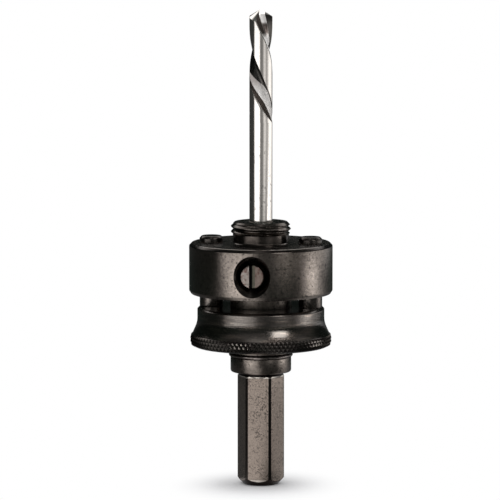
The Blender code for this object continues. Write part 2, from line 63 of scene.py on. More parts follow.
# Places that the solids give
BODY_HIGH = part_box("arbor_body")[1]
DRILL_LOW, DRILL_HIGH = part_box("pilot_drill")
SCREW_LOW, SCREW_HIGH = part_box("set_screw")
COLLAR_LOW, COLLAR_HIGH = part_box("drive_collar")
SNAP_LOW, SNAP_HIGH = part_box("snap_ring")
GRIP_LOW, GRIP_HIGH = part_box("grip_ring")
PIN_LOW, PIN_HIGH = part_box("drive_pin_right")

HEAD_RADIUS = BODY_HIGH.x
THREAD_TOP = BODY_HIGH.z
DRILL_RADIUS = (DRILL_HIGH.x - DRILL_LOW.x) / 2
SCREW_Z = (SCREW_LOW.z + SCREW_HIGH.z) / 2
SCREW_RADIUS = (SCREW_HIGH.z - SCREW_LOW.z) / 2
SNAP_Z = (SNAP_LOW.z + SNAP_HIGH.z) / 2
GRIP_Z = (GRIP_LOW.z + GRIP_HIGH.z) / 2
PIN_X = (PIN_LOW.x + PIN_HIGH.x) / 2
PIN_RADIUS = (PIN_HIGH.x - PIN_LOW.x) / 2

# Levels of the body, down from the thread's top
HEAD_TOP = THREAD_TOP - 5.6 * MM
HEAD_BOTTOM = HEAD_TOP - 13.5 * MM
JOURNAL_BOTTOM = HEAD_BOTTOM - 21.0 * MM
KNURL_TOP = COLLAR_LOW.z + 3.2 * MM

NECK_RADIUS = 6.0 * MM

# Puts a piece turned about Z on the set screw's axis, with its top towards the front
TOWARD_FRONT = Matrix.Translation((0, 0, SCREW_Z)) @ Matrix.Rotation(math.pi / 2, 4, "X")

# Height and angle at which the middle of one flute faces the front
FLUTE_HEIGHT = DRILL_HIGH.z - 21.5 * MM
FLUTE_ANGLE = math.radians(-77)

# Half diamonds in the knurl's height
KNURL_ROWS = 3

# Angles of the corners of a square block
SQUARE = np.array([math.pi / 4, 3 * math.pi / 4, 5 * math.pi / 4, 7 * math.pi / 4])

# Brightness for which a full stop of the studio's colour ramps stands
STUDIO_PEAK = 8.0

# Fineness of the grids
CORNER_STEPS = 4
FLUTE_CORNER_STEPS = 10
HEX_FACE_COLUMNS = 44
HEX_CORNER_COLUMNS = 10
THREAD_ROWS = 110
COLUMNS_A_DIAMOND = 8
FLUTE_COLUMNS = 60
LAND_COLUMNS = 50
FLUTE_ROWS = 210
RIM_ROWS = 8
POINT_ROWS = 26
KNURL_STEPS = 24
SCREW_ROWS = 100
ROUND_COLUMNS = 96
WIRE_ROWS = 160
WIRE_COLUMNS = 14
DOME_COLUMNS = 128


class ArborBodySizes(bpy.types.PropertyGroup):
    """Sizes of the turned body that can be set by themselves."""

    shank_length: FloatProperty(
        name="Shank Length", description="Height of the hexagon from its end to its neck",
        default=29.4 * MM, unit="LENGTH")
    shank_end: FloatProperty(
        name="Shank End", description="Diameter of the shank's flat end inside its chamfer",
        default=9.2 * MM, unit="LENGTH")
    shank_chamfer: FloatProperty(
        name="Shank Chamfer", description="Height of the end chamfer at the hexagon's corners",
        default=1.8 * MM, unit="LENGTH")
    shank_flats: FloatProperty(
        name="Shank Flats", description="Width of the hexagon across two flats",
        default=11.11 * MM, unit="LENGTH")
    shank_corners: FloatProperty(
        name="Shank Corners", description="Diameter to which the hexagon's corners are turned",
        default=12.4 * MM, unit="LENGTH")
    journal_diameter: FloatProperty(
        name="Journal Diameter", description="Diameter on which the collar slides",
        default=16.15 * MM, unit="LENGTH")
    thread_diameter: FloatProperty(
        name="Thread Diameter", description="Outer diameter of the screw thread for the saw",
        default=15.88 * MM, unit="LENGTH")
    thread_pitch: FloatProperty(
        name="Thread Pitch", description="Rise of the thread in one turn",
        default=1.411 * MM, unit="LENGTH")
    thread_length: FloatProperty(
        name="Thread Length", description="Height of the threaded part",
        default=3.3 * MM, unit="LENGTH")
    thread_chamfer: FloatProperty(
        name="Thread Chamfer", description="Width of the chamfer on the thread's top",
        default=0.95 * MM, unit="LENGTH")
    countersink_diameter: FloatProperty(
        name="Countersink Diameter", description="Mouth of the set screw's hole in the head's side",
        default=10.9 * MM, unit="LENGTH")


class ArborDrillSizes(bpy.types.PropertyGroup):
    """Sizes of the twist drill's flutes and point."""

    lead: FloatProperty(
        name="Lead", description="Height in which a flute makes one turn", default=38.0 * MM, unit="LENGTH")
    flute_length: FloatProperty(
        name="Flute Length", description="Height of the fluted part", default=29.0 * MM, unit="LENGTH")
    flute_width: FloatProperty(
        name="Flute Width", description="Share of the circle that one flute takes",
        default=math.radians(80), unit="ROTATION")
    point_angle: FloatProperty(
        name="Point Angle", description="Angle between the two cutting lips",
        default=math.radians(118), unit="ROTATION")
    heel_bevel: FloatProperty(
        name="Heel Bevel", description="Depth of the bevel on the heel of each land",
        default=0.05 * MM, unit="LENGTH")


class ArborCollarSizes(bpy.types.PropertyGroup):
    """Sizes of the knurled collar."""

    rim_diameter: FloatProperty(
        name="Rim Diameter", description="Diameter of the collar above its flare",
        default=33.75 * MM, unit="LENGTH")
    lip_diameter: FloatProperty(
        name="Lip Diameter", description="Diameter of the flare where it meets the knurl",
        default=36.7 * MM, unit="LENGTH")
    flare_height: FloatProperty(
        name="Flare Height", description="Height of the flare over the knurl",
        default=3.2 * MM, unit="LENGTH")
    knurl_depth: FloatProperty(
        name="Knurl Depth", description="Depth of the knurl's grooves", default=0.38 * MM, unit="LENGTH")
    knurl_count: IntProperty(
        name="Knurl Count", description="Diamonds round the collar", default=96, min=12)


class ArborFinish(bpy.types.PropertyGroup):
    """Colours of the metals."""

    blackened: FloatVectorProperty(
        name="Blackened Steel", description="Colour of the body's black oxide",
        default=(0.135, 0.116, 0.102), subtype="COLOR", min=0, max=1)
    blackened_collar: FloatVectorProperty(
        name="Blackened Collar", description="Colour of the collar's black oxide",
        default=(0.105, 0.094, 0.085), subtype="COLOR", min=0, max=1)
    worn_brown: FloatVectorProperty(
        name="Worn Brown", description="Colour where the black oxide has worn thin",
        default=(0.25, 0.205, 0.175), subtype="COLOR", min=0, max=1)
    bright: FloatVectorProperty(
        name="Bright Steel", description="Colour of the ground drill",
        default=(0.66, 0.62, 0.58), subtype="COLOR", min=0, max=1)
    screw: FloatVectorProperty(
        name="Screw Steel", description="Colour of the set screw's worn face",
        default=(0.25, 0.22, 0.20), subtype="COLOR", min=0, max=1)


class ArborStage(bpy.types.PropertyGroup):
    """Where the camera stands and how bright the studio is."""

    camera_distance: FloatProperty(
        name="Camera Distance", description="Level distance from the camera to the arbor's axis",
        default=1.2, unit="LENGTH")
    camera_height: FloatProperty(
        name="Camera Height", description="Height of the camera above the floor",
        default=201.2 * MM, unit="LENGTH")
    camera_azimuth: FloatProperty(
        name="Camera Azimuth", description="Turn of the camera from -Y towards +X",
        default=math.radians(7.35), unit="ROTATION")
    camera_pitch: FloatProperty(
        name="Camera Pitch", description="Angle by which the camera looks down",
        default=math.radians(6.586), unit="ROTATION")
    lens: FloatProperty(
        name="Lens", description="Focal length in millimetres on a 36 mm sensor", default=327.7, min=10)
    axis_offset: FloatProperty(
        name="Axis Offset", description="How far the arbor's axis stands right of the picture's middle",
        default=10.95 / 500, min=-0.5, max=0.5)


class Socket:
    """An output of a node. Python's operators on it add Math nodes, so a formula reads as one."""

    def __init__(self, tree, output):
        self.tree = tree
        self.output = output

    def other(self, name):
        """Another output of the same node."""
        return Socket(self.tree, self.output.node.outputs[name])

    def math(self, operation, *values):
        """Math node of one operation with this socket as its first value."""
        return self.tree.add("ShaderNodeMath", {"operation": operation}, dict(enumerate((self, *values))))

    def __add__(self, other):
        return self.math("ADD", other)

    def __sub__(self, other):
        return self.math("SUBTRACT", other)

    def __mul__(self, other):
        return self.math("MULTIPLY", other)

    def __truediv__(self, other):
        return self.math("DIVIDE", other)

    def __rsub__(self, other):
        return self.tree.add("ShaderNodeMath", {"operation": "SUBTRACT"}, {0: other, 1: self})

    __radd__ = __add__
    __rmul__ = __mul__

    def rise(self, low, high):
        """0 below low, 1 above high, and a smooth step from one to the other."""
        sockets = {"Value": self, "From Min": low, "From Max": high}
        return self.tree.add("ShaderNodeMapRange", {"interpolation_type": "SMOOTHSTEP"}, sockets)

    def fall(self, low, high):
        """1 below low, 0 above high, and a smooth step from one to the other."""
        return 1 - self.rise(low, high)


class Tree:
    """Nodes of one material or world."""

    def __init__(self, owner):
        owner.use_nodes = True
        self.nodes = owner.node_tree.nodes
        self.links = owner.node_tree.links
        self.nodes.clear()

    def add(self, kind, settings=None, sockets=None, output=0):
        """Add a node of a type, with its settings first and then the values or links of its sockets."""
        node = self.nodes.new(kind)
        for name, value in (settings or {}).items():
            if name == "stops":
                self.set_stops(node.color_ramp, value)
            else:
                setattr(node, name, value)
        for key, value in (sockets or {}).items():
            if isinstance(value, Socket):
                self.links.new(value.output, node.inputs[key])
            else:
                node.inputs[key].default_value = value
        return Socket(self, node.outputs[output]) if len(node.outputs) else None

    def set_stops(self, ramp, stops):
        """Give a colour ramp its stops: pairs of a place from 0 to 1 and a colour."""
        while len(ramp.elements) > 1:
            ramp.elements.remove(ramp.elements[-1])
        ramp.elements[0].position = stops[0][0]
        ramp.elements[0].color = (*stops[0][1], 1)
        for place, colour in stops[1:]:
            ramp.elements.new(place).color = (*colour, 1)

    def colour_mix(self, factor, first, second, blend="MIX"):
        """Mix node on colours. Plain colours are tuples of three."""
        colours = [c if isinstance(c, Socket) else (*c, 1) for c in (first, second)]
        sockets = {0: factor, 6: colours[0], 7: colours[1]}
        return self.add("ShaderNodeMix", {"data_type": "RGBA", "blend_type": blend}, sockets, output=2)

    def coats(self, colour, *coats):
        """Colour with coats laid over it in turn. Each coat is a mask from 0 to 1 and a colour."""
        for mask, coat in coats:
            colour = self.colour_mix(mask, colour, coat)
        return colour

    def place(self):
        """Object coordinates in millimetres, as x, y and z and as the vector itself."""
        coordinates = self.add("ShaderNodeTexCoord", output="Object")
        vector = self.add("ShaderNodeVectorMath", {"operation": "SCALE"}, {0: coordinates, "Scale": 1 / MM})
        axes = self.add("ShaderNodeSeparateXYZ", sockets={0: vector})
        return axes, axes.other("Y"), axes.other("Z"), vector

    def noise(self, vector, scale, detail=2.0, roughness=0.5):
        """Noise over space. The scale is in waves to a millimetre."""
        sockets = {"Vector": vector, "Scale": scale, "Detail": detail, "Roughness": roughness}
        return self.add("ShaderNodeTexNoise", None, sockets)

def polar(radius, height, angle):
    """Points (radius cos angle, radius sin angle, height), with the three inputs broadcast together."""
    radius, height, angle = np.broadcast_arrays(radius, height, angle)
    return np.stack((radius * np.cos(angle), radius * np.sin(angle), height), axis=-1)


def new_piece(name, points, faces, material, sharp=25):
    """Object from an array of points and a list of face arrays, each array with faces of one size."""
    mesh = bpy.data.meshes.new(name)
    corners = np.concatenate([part.reshape(-1) for part in faces])
    sizes = np.concatenate([np.full(len(part), part.shape[1]) for part in faces])
    mesh.vertices.add(len(points))
    mesh.vertices.foreach_set("co", np.ascontiguousarray(points, np.float32).reshape(-1))
    mesh.loops.add(len(corners))
    mesh.loops.foreach_set("vertex_index", corners.astype(np.int32))
    mesh.polygons.add(len(sizes))
    mesh.polygons.foreach_set("loop_start", (np.cumsum(sizes) - sizes).astype(np.int32))
    mesh.polygons.foreach_set("loop_total", sizes.astype(np.int32))
    mesh.update(calc_edges=True)
    mesh.validate()
    obj = bpy.data.objects.new(name, mesh)
    bpy.context.scene.collection.objects.link(obj)
    dress(obj, material, sharp)
    return obj


def dress(obj, material, sharp=25):
    """Give a piece its material, with its round faces smooth and its edges above an angle sharp."""
    obj.data.materials.clear()
    if material is not None:
        obj.data.materials.append(material)
    obj.data.shade_smooth()
    obj.data.set_sharp_from_angle(angle=math.radians(sharp))


def lathe(name, grid, material=None, ring=False, matrix=None, sharp=25):
    """Closed surface over a grid of (rows, columns) points whose columns run once round the axis.

    Row after row is joined by four-sided faces. The first and last rows are closed by a fan to their
    middle, or, for a ring, the last row is joined to the first.
    """
    rows, columns = grid.shape[:2]
    points = grid.reshape(-1, 3)
    index = np.arange(rows * columns).reshape(rows, columns)
    after = np.roll(index, -1, axis=1)
    above = np.roll(index, -1, axis=0)
    above_after = np.roll(after, -1, axis=0)
    last = rows if ring else rows - 1
    quads = np.stack((index, after, above_after, above), axis=-1)[:last].reshape(-1, 4)
    faces = [quads]
    if not ring:
        middles = np.array([grid[0].mean(axis=0), grid[-1].mean(axis=0)])
        first_pole = np.full(columns, len(points))
        points = np.concatenate((points, middles))
        faces.append(np.stack((first_pole, after[0], index[0]), axis=-1))
        faces.append(np.stack((index[-1], after[-1], first_pole + 1), axis=-1))
    if matrix is not None:
        points = points @ np.array(matrix.to_3x3()).T + np.array(matrix.translation)
    return new_piece(name, points, faces, material, sharp)


def rounded(corners, steps=CORNER_STEPS):
    """Outline through corners of (radius, height, cut), as two arrays.

    A corner with a cut is rounded: its points are (1-t)^2 a + 2t(1-t) corner + t^2 b, where a and b lie
    on its two sides at the distance cut, and t runs from 0 to 1.
    """
    corners = np.array(corners, float)
    places = corners[:, :2]
    t = np.linspace(0, 1, steps + 1)[:, None]
    outline = []
    for i, (place, cut) in enumerate(zip(places, corners[:, 2])):
        if cut == 0 or i in (0, len(corners) - 1):
            outline.append(place[None])
            continue
        before = places[i - 1] - place
        onward = places[i + 1] - place
        a = place + before / np.linalg.norm(before) * cut
        b = place + onward / np.linalg.norm(onward) * cut
        outline.append((1 - t) ** 2 * a + 2 * t * (1 - t) * place + t ** 2 * b)
    outline = np.concatenate(outline)
    return outline[:, :1], outline[:, 1:]


def round_angles(half_step=0, columns=ROUND_COLUMNS):
    """Angles evenly round the circle, moved on by a number of half steps."""
    return np.linspace(0, 2 * math.pi, columns, endpoint=False) + half_step * math.pi / columns


def turned(name, corners, matrix, material=None, half_step=0):
    """Closed round piece from the corners of its outline, placed by a matrix."""
    grid = polar(*rounded(corners), round_angles(half_step))
    return lathe(name, grid, material, matrix=matrix)


def combine(obj, cutters, operation="DIFFERENCE"):
    """Apply a Boolean of a piece with each cutter, and remove the cutters."""
    for cutter in cutters:
        modifier = obj.modifiers.new("cut", "BOOLEAN")
        modifier.operation = operation
        modifier.solver = "EXACT"
        modifier.object = cutter
    graph = bpy.context.evaluated_depsgraph_get()
    graph.update()
    result = bpy.data.meshes.new_from_object(obj.evaluated_get(graph))
    obj.modifiers.clear()
    old = obj.data
    obj.data = result
    result.name = obj.name
    bpy.data.meshes.remove(old)
    for cutter in cutters:
        bpy.data.objects.remove(cutter)


def steel(name, colour, roughness):
    """Material with a metallic shader. Returns the material, its nodes and the shader's node."""
    material = bpy.data.materials.new(name)
    tree = Tree(material)
    shader = tree.nodes.new("ShaderNodeBsdfPrincipled")
    shader.inputs["Base Color"].default_value = (*colour, 1)
    shader.inputs["Metallic"].default_value = 1
    shader.inputs["Roughness"].default_value = roughness
    output = tree.nodes.new("ShaderNodeOutputMaterial")
    tree.links.new(shader.outputs["BSDF"], output.inputs["Surface"])
    return material, tree, shader


def feed(tree, shader, colour, roughness, height, bump):
    """Link what changes over the surface. The height runs from 0 to 1 and is worth the bump's depth."""
    normal = tree.add("ShaderNodeBump", None, {"Height": height, "Distance": bump, "Strength": 1.0})
    for name, socket in (("Base Color", colour), ("Roughness", roughness), ("Normal", normal)):
        tree.links.new(socket.output, shader.inputs[name])


def turned_place(tree):
    """Object place in millimetres: x, y, z, the vector, the radius and the way along a profile."""
    x, y, z, vector = tree.place()
    radius = (x * x + y * y).math("SQRT")
    return x, y, z, vector, radius, radius + z


def streaks(tree, x, y, way, scale, detail=2.0):
    """Noise drawn out round the axis, as turning leaves it: waves along the profile, long ones round it."""
    squeeze = 0.1
    vector = tree.add("ShaderNodeCombineXYZ", None, {0: x * squeeze, 1: y * squeeze, 2: way})
    return tree.noise(vector, scale, detail, 0.6)


def scaled(tree, colour, factor):
    """Colour times a number that changes over the surface."""
    grey = tree.add("ShaderNodeCombineXYZ", None, {0: factor, 1: factor, 2: factor})
    return tree.colour_mix(1.0, colour, grey, "MULTIPLY")


def darker(colour, share):
    """Share of a plain colour."""
    return tuple(share * channel for channel in colour)


def blackened_steel(finish):
    """Black oxide on turned steel, with specks all over it.

    It is worn brown on the shank's flats. Painted shade darkens the hexagon's turned corners, the
    countersink, the thread's neck and the neck between the shank and the journal, and is nearly black on the
    shank's end and its chamfer. A painted highlight runs along the lower edge of the front flat and one round
    the shank's shoulder. The head's top face is painted lighter and its top chamfer darker, as light and
    shade. The level is the height above the head's top face. A band of heights is a smooth step up times a
    smooth step down.
    """
    sizes = bpy.context.scene.arbor_body
    shank_top = sizes.shank_length / MM
    shank_corner = sizes.shank_corners / 2 / MM
    shank_flat = sizes.shank_flats / 2 / MM
    end_radius = sizes.shank_end / 2 / MM
    chamfer_top = sizes.shank_chamfer / MM
    journal_low = SNAP_HIGH.z / MM
    material, tree, shader = steel("blackened_steel", finish.blackened, 0.2)
    x, y, z, vector, radius, way = turned_place(tree)
    front = 0 - y
    level = z - HEAD_TOP / MM
    lines = streaks(tree, x, y, way, 2.2, 3.0)
    grain = tree.noise(vector, 1.7, 4.0, 0.7)
    blotches = tree.noise(vector, 0.32, 4.0, 0.6)
    mottle = tree.noise(vector, 1.1, 5.0, 0.75)
    specks = tree.noise(vector, 1.25, 2.0, 0.5).rise(0.60, 0.68)
    pits = tree.noise(vector, 2.4, 3.0, 0.7).rise(0.50, 0.60) * (0.35 + blotches.rise(0.42, 0.58))
    shank = z.fall(shank_top - 0.6, shank_top - 0.45)
    flat = shank * radius.fall(shank_corner - 0.025, shank_corner - 0.005)
    slope = chamfer_top / (shank_corner - end_radius)
    # Shank's end face and its chamfer, which the coats below paint nearly black as shade.
    end = (z - (radius - end_radius) * slope).fall(0.02, 0.10)
    # Painted highlight along the lower edge of the front flat, above the end chamfer.
    flat_edge_highlight = z.fall(chamfer_top - 0.18, chamfer_top - 0.08)
    flat_edge_highlight = flat_edge_highlight * front.rise(shank_flat - 0.105, shank_flat - 0.055)
    # Painted highlight round the shank's shoulder.
    shoulder_highlight = z.rise(shank_top - 0.45, shank_top - 0.35) * z.fall(shank_top - 0.05, shank_top)
    # Painted shade on the neck between the shank and the journal.
    gap = z.rise(shank_top - 0.05, shank_top + 0.05)
    gap = gap * z.fall(JOURNAL_BOTTOM / MM - 0.3, JOURNAL_BOTTOM / MM)
    journal = z.rise(journal_low, journal_low + 0.3) * radius.fall(8.2, 8.5)
    journal = journal * z.fall(HEAD_BOTTOM / MM - 0.1, HEAD_BOTTOM / MM + 0.1)
    # Head's top chamfer, painted darker as shade.
    chamfer = level.rise(-0.85, -0.65) * level.fall(-0.1, -0.02)
    # Head's top face, painted lighter as light falling on it.
    top = level.rise(-0.1, -0.02) * level.fall(0.2, 0.5)
    # Thread's neck above the head, painted darker as shade, less so on the thread.
    neck = level.rise(-0.1, 0.3) * (1 - 0.45 * level.rise(2.2, 2.6)) * radius.fall(8.0, 8.5)
    above_screw = z - SCREW_Z / MM
    from_screw = (x * x + above_screw * above_screw).math("SQRT")
    mouth = (sizes.countersink_diameter / 2 - HEAD_RADIUS) / MM
    # Painted shade inside the countersink of the set screw's hole.
    countersink_shade = (from_screw + y - mouth).fall(0.02, 0.10) * front.rise(4.0, 6.0)
    dark = darker(finish.blackened, 0.28)
    tone = tree.coats(
        finish.blackened,
        (flat * (0.75 + 0.3 * blotches), finish.worn_brown),
        (specks * (0.75 - 0.3 * flat), dark),
        (flat * pits * 0.55, dark),
        # Painted shade: the hexagon's turned corners, darker than its flats.
        (shank - flat, dark),
        # Painted shade: the shank's end and its chamfer, nearly black.
        (shank * end, (0.016, 0.010, 0.008)),
        # Painted highlights on the front flat's lower edge and round the shank's shoulder.
        (((1 - end) * flat_edge_highlight).math("MAXIMUM", shoulder_highlight), (0.55, 0.50, 0.45)),
        # Painted shade under the journal.
        (gap, (0.006, 0.005, 0.005)),
        # Painted shade in the countersink and on the thread's neck.
        ((countersink_shade + neck * 0.85).math("MINIMUM", 1.0), dark))
    for factor in (
            0.66 + 0.66 * grain,
            # Painted light on the head's top face and painted shade on its top chamfer.
            1 + 0.3 * top - 0.65 * chamfer,
            1 + (1.5 * mottle - 0.75) * (1 - shank) * (1 - 0.6 * top),
            0.88 + 0.24 * lines):
        tone = scaled(tree, tone, factor)
    roughness = 0.11 + 0.16 * grain + 0.05 * flat + 0.20 * journal
    height = 0.35 * lines + 0.45 * grain + 0.3 * flat * pits + 0.4 * mottle
    feed(tree, shader, tone, roughness, height * (1 - 0.7 * top - 0.45 * flat), 0.03 * MM)
    return material


def blackened_collar_steel(finish):
    """Black oxide on the turned, knurled collar, with deep turning streaks and painted shade on the knurl."""
    material, tree, shader = steel("blackened_collar_steel", finish.blackened_collar, 0.18)
    x, y, z, vector, radius, way = turned_place(tree)
    lines = streaks(tree, x, y, way, 1.5, 4.0)
    broad = streaks(tree, x, y, way, 0.55, 2.0)
    grain = tree.noise(vector, 1.9, 3.0, 0.6)
    dark = darker(finish.blackened_collar, 0.3)
    # Knurl's band, painted darker as shade.
    knurl = z.fall(KNURL_TOP / MM - 0.2, KNURL_TOP / MM + 0.2)
    tone = tree.coats(
        finish.blackened_collar,
        (lines.rise(0.48, 0.64) * 0.55, finish.worn_brown),
        (broad.rise(0.50, 0.66) * 0.55, dark),
        # Painted shade on the knurl, deepest in its grooves.
        (knurl * (1 - 0.6 * radius.rise(18.50, 18.72)), dark))
    tone = scaled(tree, tone, 0.6 + 0.8 * grain)
    height = 0.8 * lines + 0.35 * broad + 0.2 * grain
    feed(tree, shader, tone, 0.10 + 0.16 * grain, height, 0.06 * MM)
    return material


def pin_steel(finish):
    """Satin black oxide on the drive pins, with painted shade above the head."""
    material, tree, shader = steel("pin_steel", finish.blackened_collar, 0.2)
    _, _, z, vector = tree.place()
    grain = tree.noise(vector, 1.8, 3.0, 0.6)
    tone = tree.colour_mix(grain.rise(0.5, 0.8) * 0.6, finish.blackened_collar, finish.worn_brown)
    # Painted shade on the pins above the head.
    tone = scaled(tree, tone, 1 - 0.55 * z.rise(HEAD_TOP / MM - 0.1, HEAD_TOP / MM + 0.1))
    feed(tree, shader, tone, 0.12 + 0.16 * grain, grain, 0.02 * MM)
    return material


def drill_steel(finish):
    """Bright ground steel with fine grinding rings, and smudges low on the shank.

    The flutes are coloured in their own frame, which turns with the helix: across is the way out through
    a flute's middle, aside is the way from its heel to its lip, and slant is aside over across. Down is
    the distance below the tip, and depth the distance in from the land. The walls of heel and lip carry
    painted dark reflections. The hollow between them is pale and matt, a painted reflection, with painted
    shade in two bands, and it is stained near the point.
    """
    lead = bpy.context.scene.arbor_drill.lead / MM
    material, tree, shader = steel("drill_steel", finish.bright, 0.14)
    x, y, z, vector, radius, way = turned_place(tree)
    down = DRILL_HIGH.z / MM - z
    depth = DRILL_RADIUS / MM - radius
    turn = FLUTE_ANGLE - (z - FLUTE_HEIGHT / MM) * (2 * math.pi / lead)
    cosine = turn.math("COSINE")
    sine = turn.math("SINE")
    across = x * cosine + y * sine
    aside = (y * cosine - x * sine) * across.math("SIGN")
    slant = aside / across.math("ABSOLUTE")
    rings = streaks(tree, x, y, way, 4.0, 3.0)
    smudge = tree.noise(vector, 0.9, 4.0, 0.7).rise(0.57, 0.66) * down.rise(33.0, 38.0)
    outside = slant.rise(3.0, 3.3) + (0 - slant).rise(0.70, 0.76)
    flute = (1 - outside * down.fall(3.3, 3.5)) * depth.rise(0.01, 0.05) * down.fall(32.5, 33.0)
    narrow = down.rise(12.0, 14.0) * down.fall(18.0, 26.0)
    clear = down.rise(6.2, 7.2) * down.fall(11.0, 12.0)
    # Painted dark reflection on each heel's wall.
    heel = flute * (aside + 1.9 * narrow).fall(-0.45, -0.25) * (1 - clear)
    shade = down.rise(9.3, 11.5) * down.fall(15.5, 22.0)
    # Painted dark reflection on each lip's wall.
    lip = flute * (aside + 4.0 * shade + 0.35 * down.fall(6.0, 9.0)).rise(1.45, 1.60)
    hollow = (flute - heel - lip).math("MAXIMUM", 0.0)
    stain = hollow * down.rise(3.2, 4.2) * down.fall(6.0, 7.8)
    # Painted reflection: the hollow is made pale and matt.
    pale_reflection = hollow * (1 - stain)
    # Painted shade in two bands along the hollow.
    shade_bands = hollow * (down.fall(18.5, 22.0) + 0.5 * down.rise(25.5, 28.5)) * down.rise(10.0, 12.0)
    tone = tree.coats(
        finish.bright,
        (smudge * 0.8, darker(finish.bright, 0.45)),
        # Painted dark reflections on the walls of heel and lip.
        (heel * 0.96, (0.04, 0.03, 0.024)),
        (lip * 0.95, (0.02, 0.018, 0.016)),
        # Painted pale reflection in the hollow.
        (pale_reflection, (0.98, 0.95, 0.92)),
        # Painted shade in two bands of the hollow.
        (shade_bands * 0.7, (0.36, 0.30, 0.27)),
        (stain * 0.9, (0.09, 0.065, 0.055)))
    roughness = 0.09 + 0.10 * rings + 0.22 * flute + 0.25 * heel
    feed(tree, shader, tone, roughness, rings, 0.006 * MM)
    # Less metallic in the painted pale hollow, so it shows matt and pale.
    tree.links.new((1 - 0.98 * pale_reflection).output, shader.inputs["Metallic"])
    return material


def screw_steel(finish):
    """Worn grey face with red-brown and black specks, and painted shade on its right and in its slot."""
    material, tree, shader = steel("screw_steel", finish.screw, 0.3)
    x, y, _, vector = tree.place()
    specks = tree.noise(vector, 1.3, 3.0, 0.6)
    stain = tree.noise(vector, 0.8, 2.0, 0.5)
    slot = y.rise(SCREW_LOW.y / MM + 0.15, SCREW_LOW.y / MM + 0.5)
    tone = tree.coats(
        finish.screw,
        # Painted shade on the face's right side.
        (x.rise(-0.2, 0.8) * 0.75, (0.12, 0.085, 0.07)),
        (specks.rise(0.50, 0.62) * 0.8, (0.10, 0.05, 0.043)),
        (stain.rise(0.55, 0.70) * 0.5, (0.05, 0.045, 0.04)),
        # Painted shade in the slot, blackest at its left wall.
        (slot, (0.085, 0.078, 0.062)),
        (slot * x.fall(-0.30, -0.05), (0.004, 0.004, 0.004)))
    feed(tree, shader, tone, 0.22 + 0.2 * specks, specks, 0.05 * MM)
    return material


def spring_steel():
    """Oiled spring wire of the two open rings."""
    oiled = (0.2, 0.175, 0.16)
    material, tree, shader = steel("spring_steel", oiled, 0.2)
    vector = tree.place()[-1]
    grain = tree.noise(vector, 1.6, 2.0, 0.5)
    tone = tree.colour_mix(grain.rise(0.45, 0.7) * 0.7, oiled, (0.06, 0.052, 0.046))
    feed(tree, shader, tone, 0.12 + 0.14 * grain, grain, 0.012 * MM)
    return material


def hexagon_angles():
    """Angles of the body's columns: evenly over each flat of the hexagon, and evenly over each corner."""
    sizes = bpy.context.scene.arbor_body
    half_flat = math.acos(sizes.shank_flats / sizes.shank_corners)
    flat = np.linspace(-half_flat, half_flat, HEX_FACE_COLUMNS, endpoint=False)
    corner = np.linspace(half_flat, math.pi / 3 - half_flat, HEX_CORNER_COLUMNS, endpoint=False)
    one_side = np.concatenate((flat, corner))
    sides = np.arange(6)[:, None] * math.pi / 3 - math.pi / 2
    return (sides + one_side).reshape(-1)


def shank_rows(angle, sizes):
    """Rows of the hexagon shank, from its end face up to its neck.

    The radius of a flat is (flats/2) / cos(angle from its middle), at most half the turned corners. The
    end chamfer is a cone, and each column leaves it at the height where the cone is as wide as the flat.
    """
    end_radius = sizes.shank_end / 2
    run_out_radius = sizes.shank_flats / 2 - 0.65 * MM
    run_out = 1.3 * MM
    from_middle = (angle + math.pi / 2 + math.pi / 6) % (math.pi / 3) - math.pi / 6
    corner = sizes.shank_corners / 2
    radius = np.minimum(sizes.shank_flats / 2 / np.cos(from_middle), corner)
    low = sizes.shank_chamfer * (radius - end_radius) / (corner - end_radius)
    rise = run_out * (radius - run_out_radius) / (NECK_RADIUS - run_out_radius)
    high = sizes.shank_length - run_out + rise
    high = np.where(radius > NECK_RADIUS, sizes.shank_length - (radius - NECK_RADIUS), high)
    edge = 0.12 * MM
    return np.stack([
        polar(np.full_like(angle, end_radius - edge), 0, angle),
        polar(end_radius + edge * 0.4, edge * 0.6, angle),
        polar(radius - edge * 0.25, low - edge * 0.6, angle),
        polar(radius, low + edge * 0.5, angle),
        polar(radius, high, angle),
        polar(np.full_like(angle, NECK_RADIUS), sizes.shank_length, angle),
    ])


def thread_rows(angle, sizes, neck, bottom, top):
    """Rows of the screw thread as a height field over angle and height.

    The radius is the crest's less the depth times a trapezium wave of (height / pitch + angle / turn).
    It is at most the two chamfer cones at its ends.
    """
    depth = 0.62 * MM
    chamfer = sizes.thread_chamfer
    crest = sizes.thread_diameter / 2
    height = np.linspace(bottom, top, THREAD_ROWS)[:, None]
    turn = (height / sizes.thread_pitch + angle / (2 * math.pi)) % 1.0
    from_crest = np.abs(turn - 0.5) * sizes.thread_pitch
    flank = 0.40 * sizes.thread_pitch
    flat = 0.06 * sizes.thread_pitch
    radius = crest - depth * np.clip((from_crest - flat) / flank, 0, 1)
    radius = np.minimum(radius, neck + (height - bottom))
    radius = np.minimum(radius, crest - chamfer * np.clip(1 - (top - height) / chamfer, 0, 1))
    return polar(radius, height, angle)


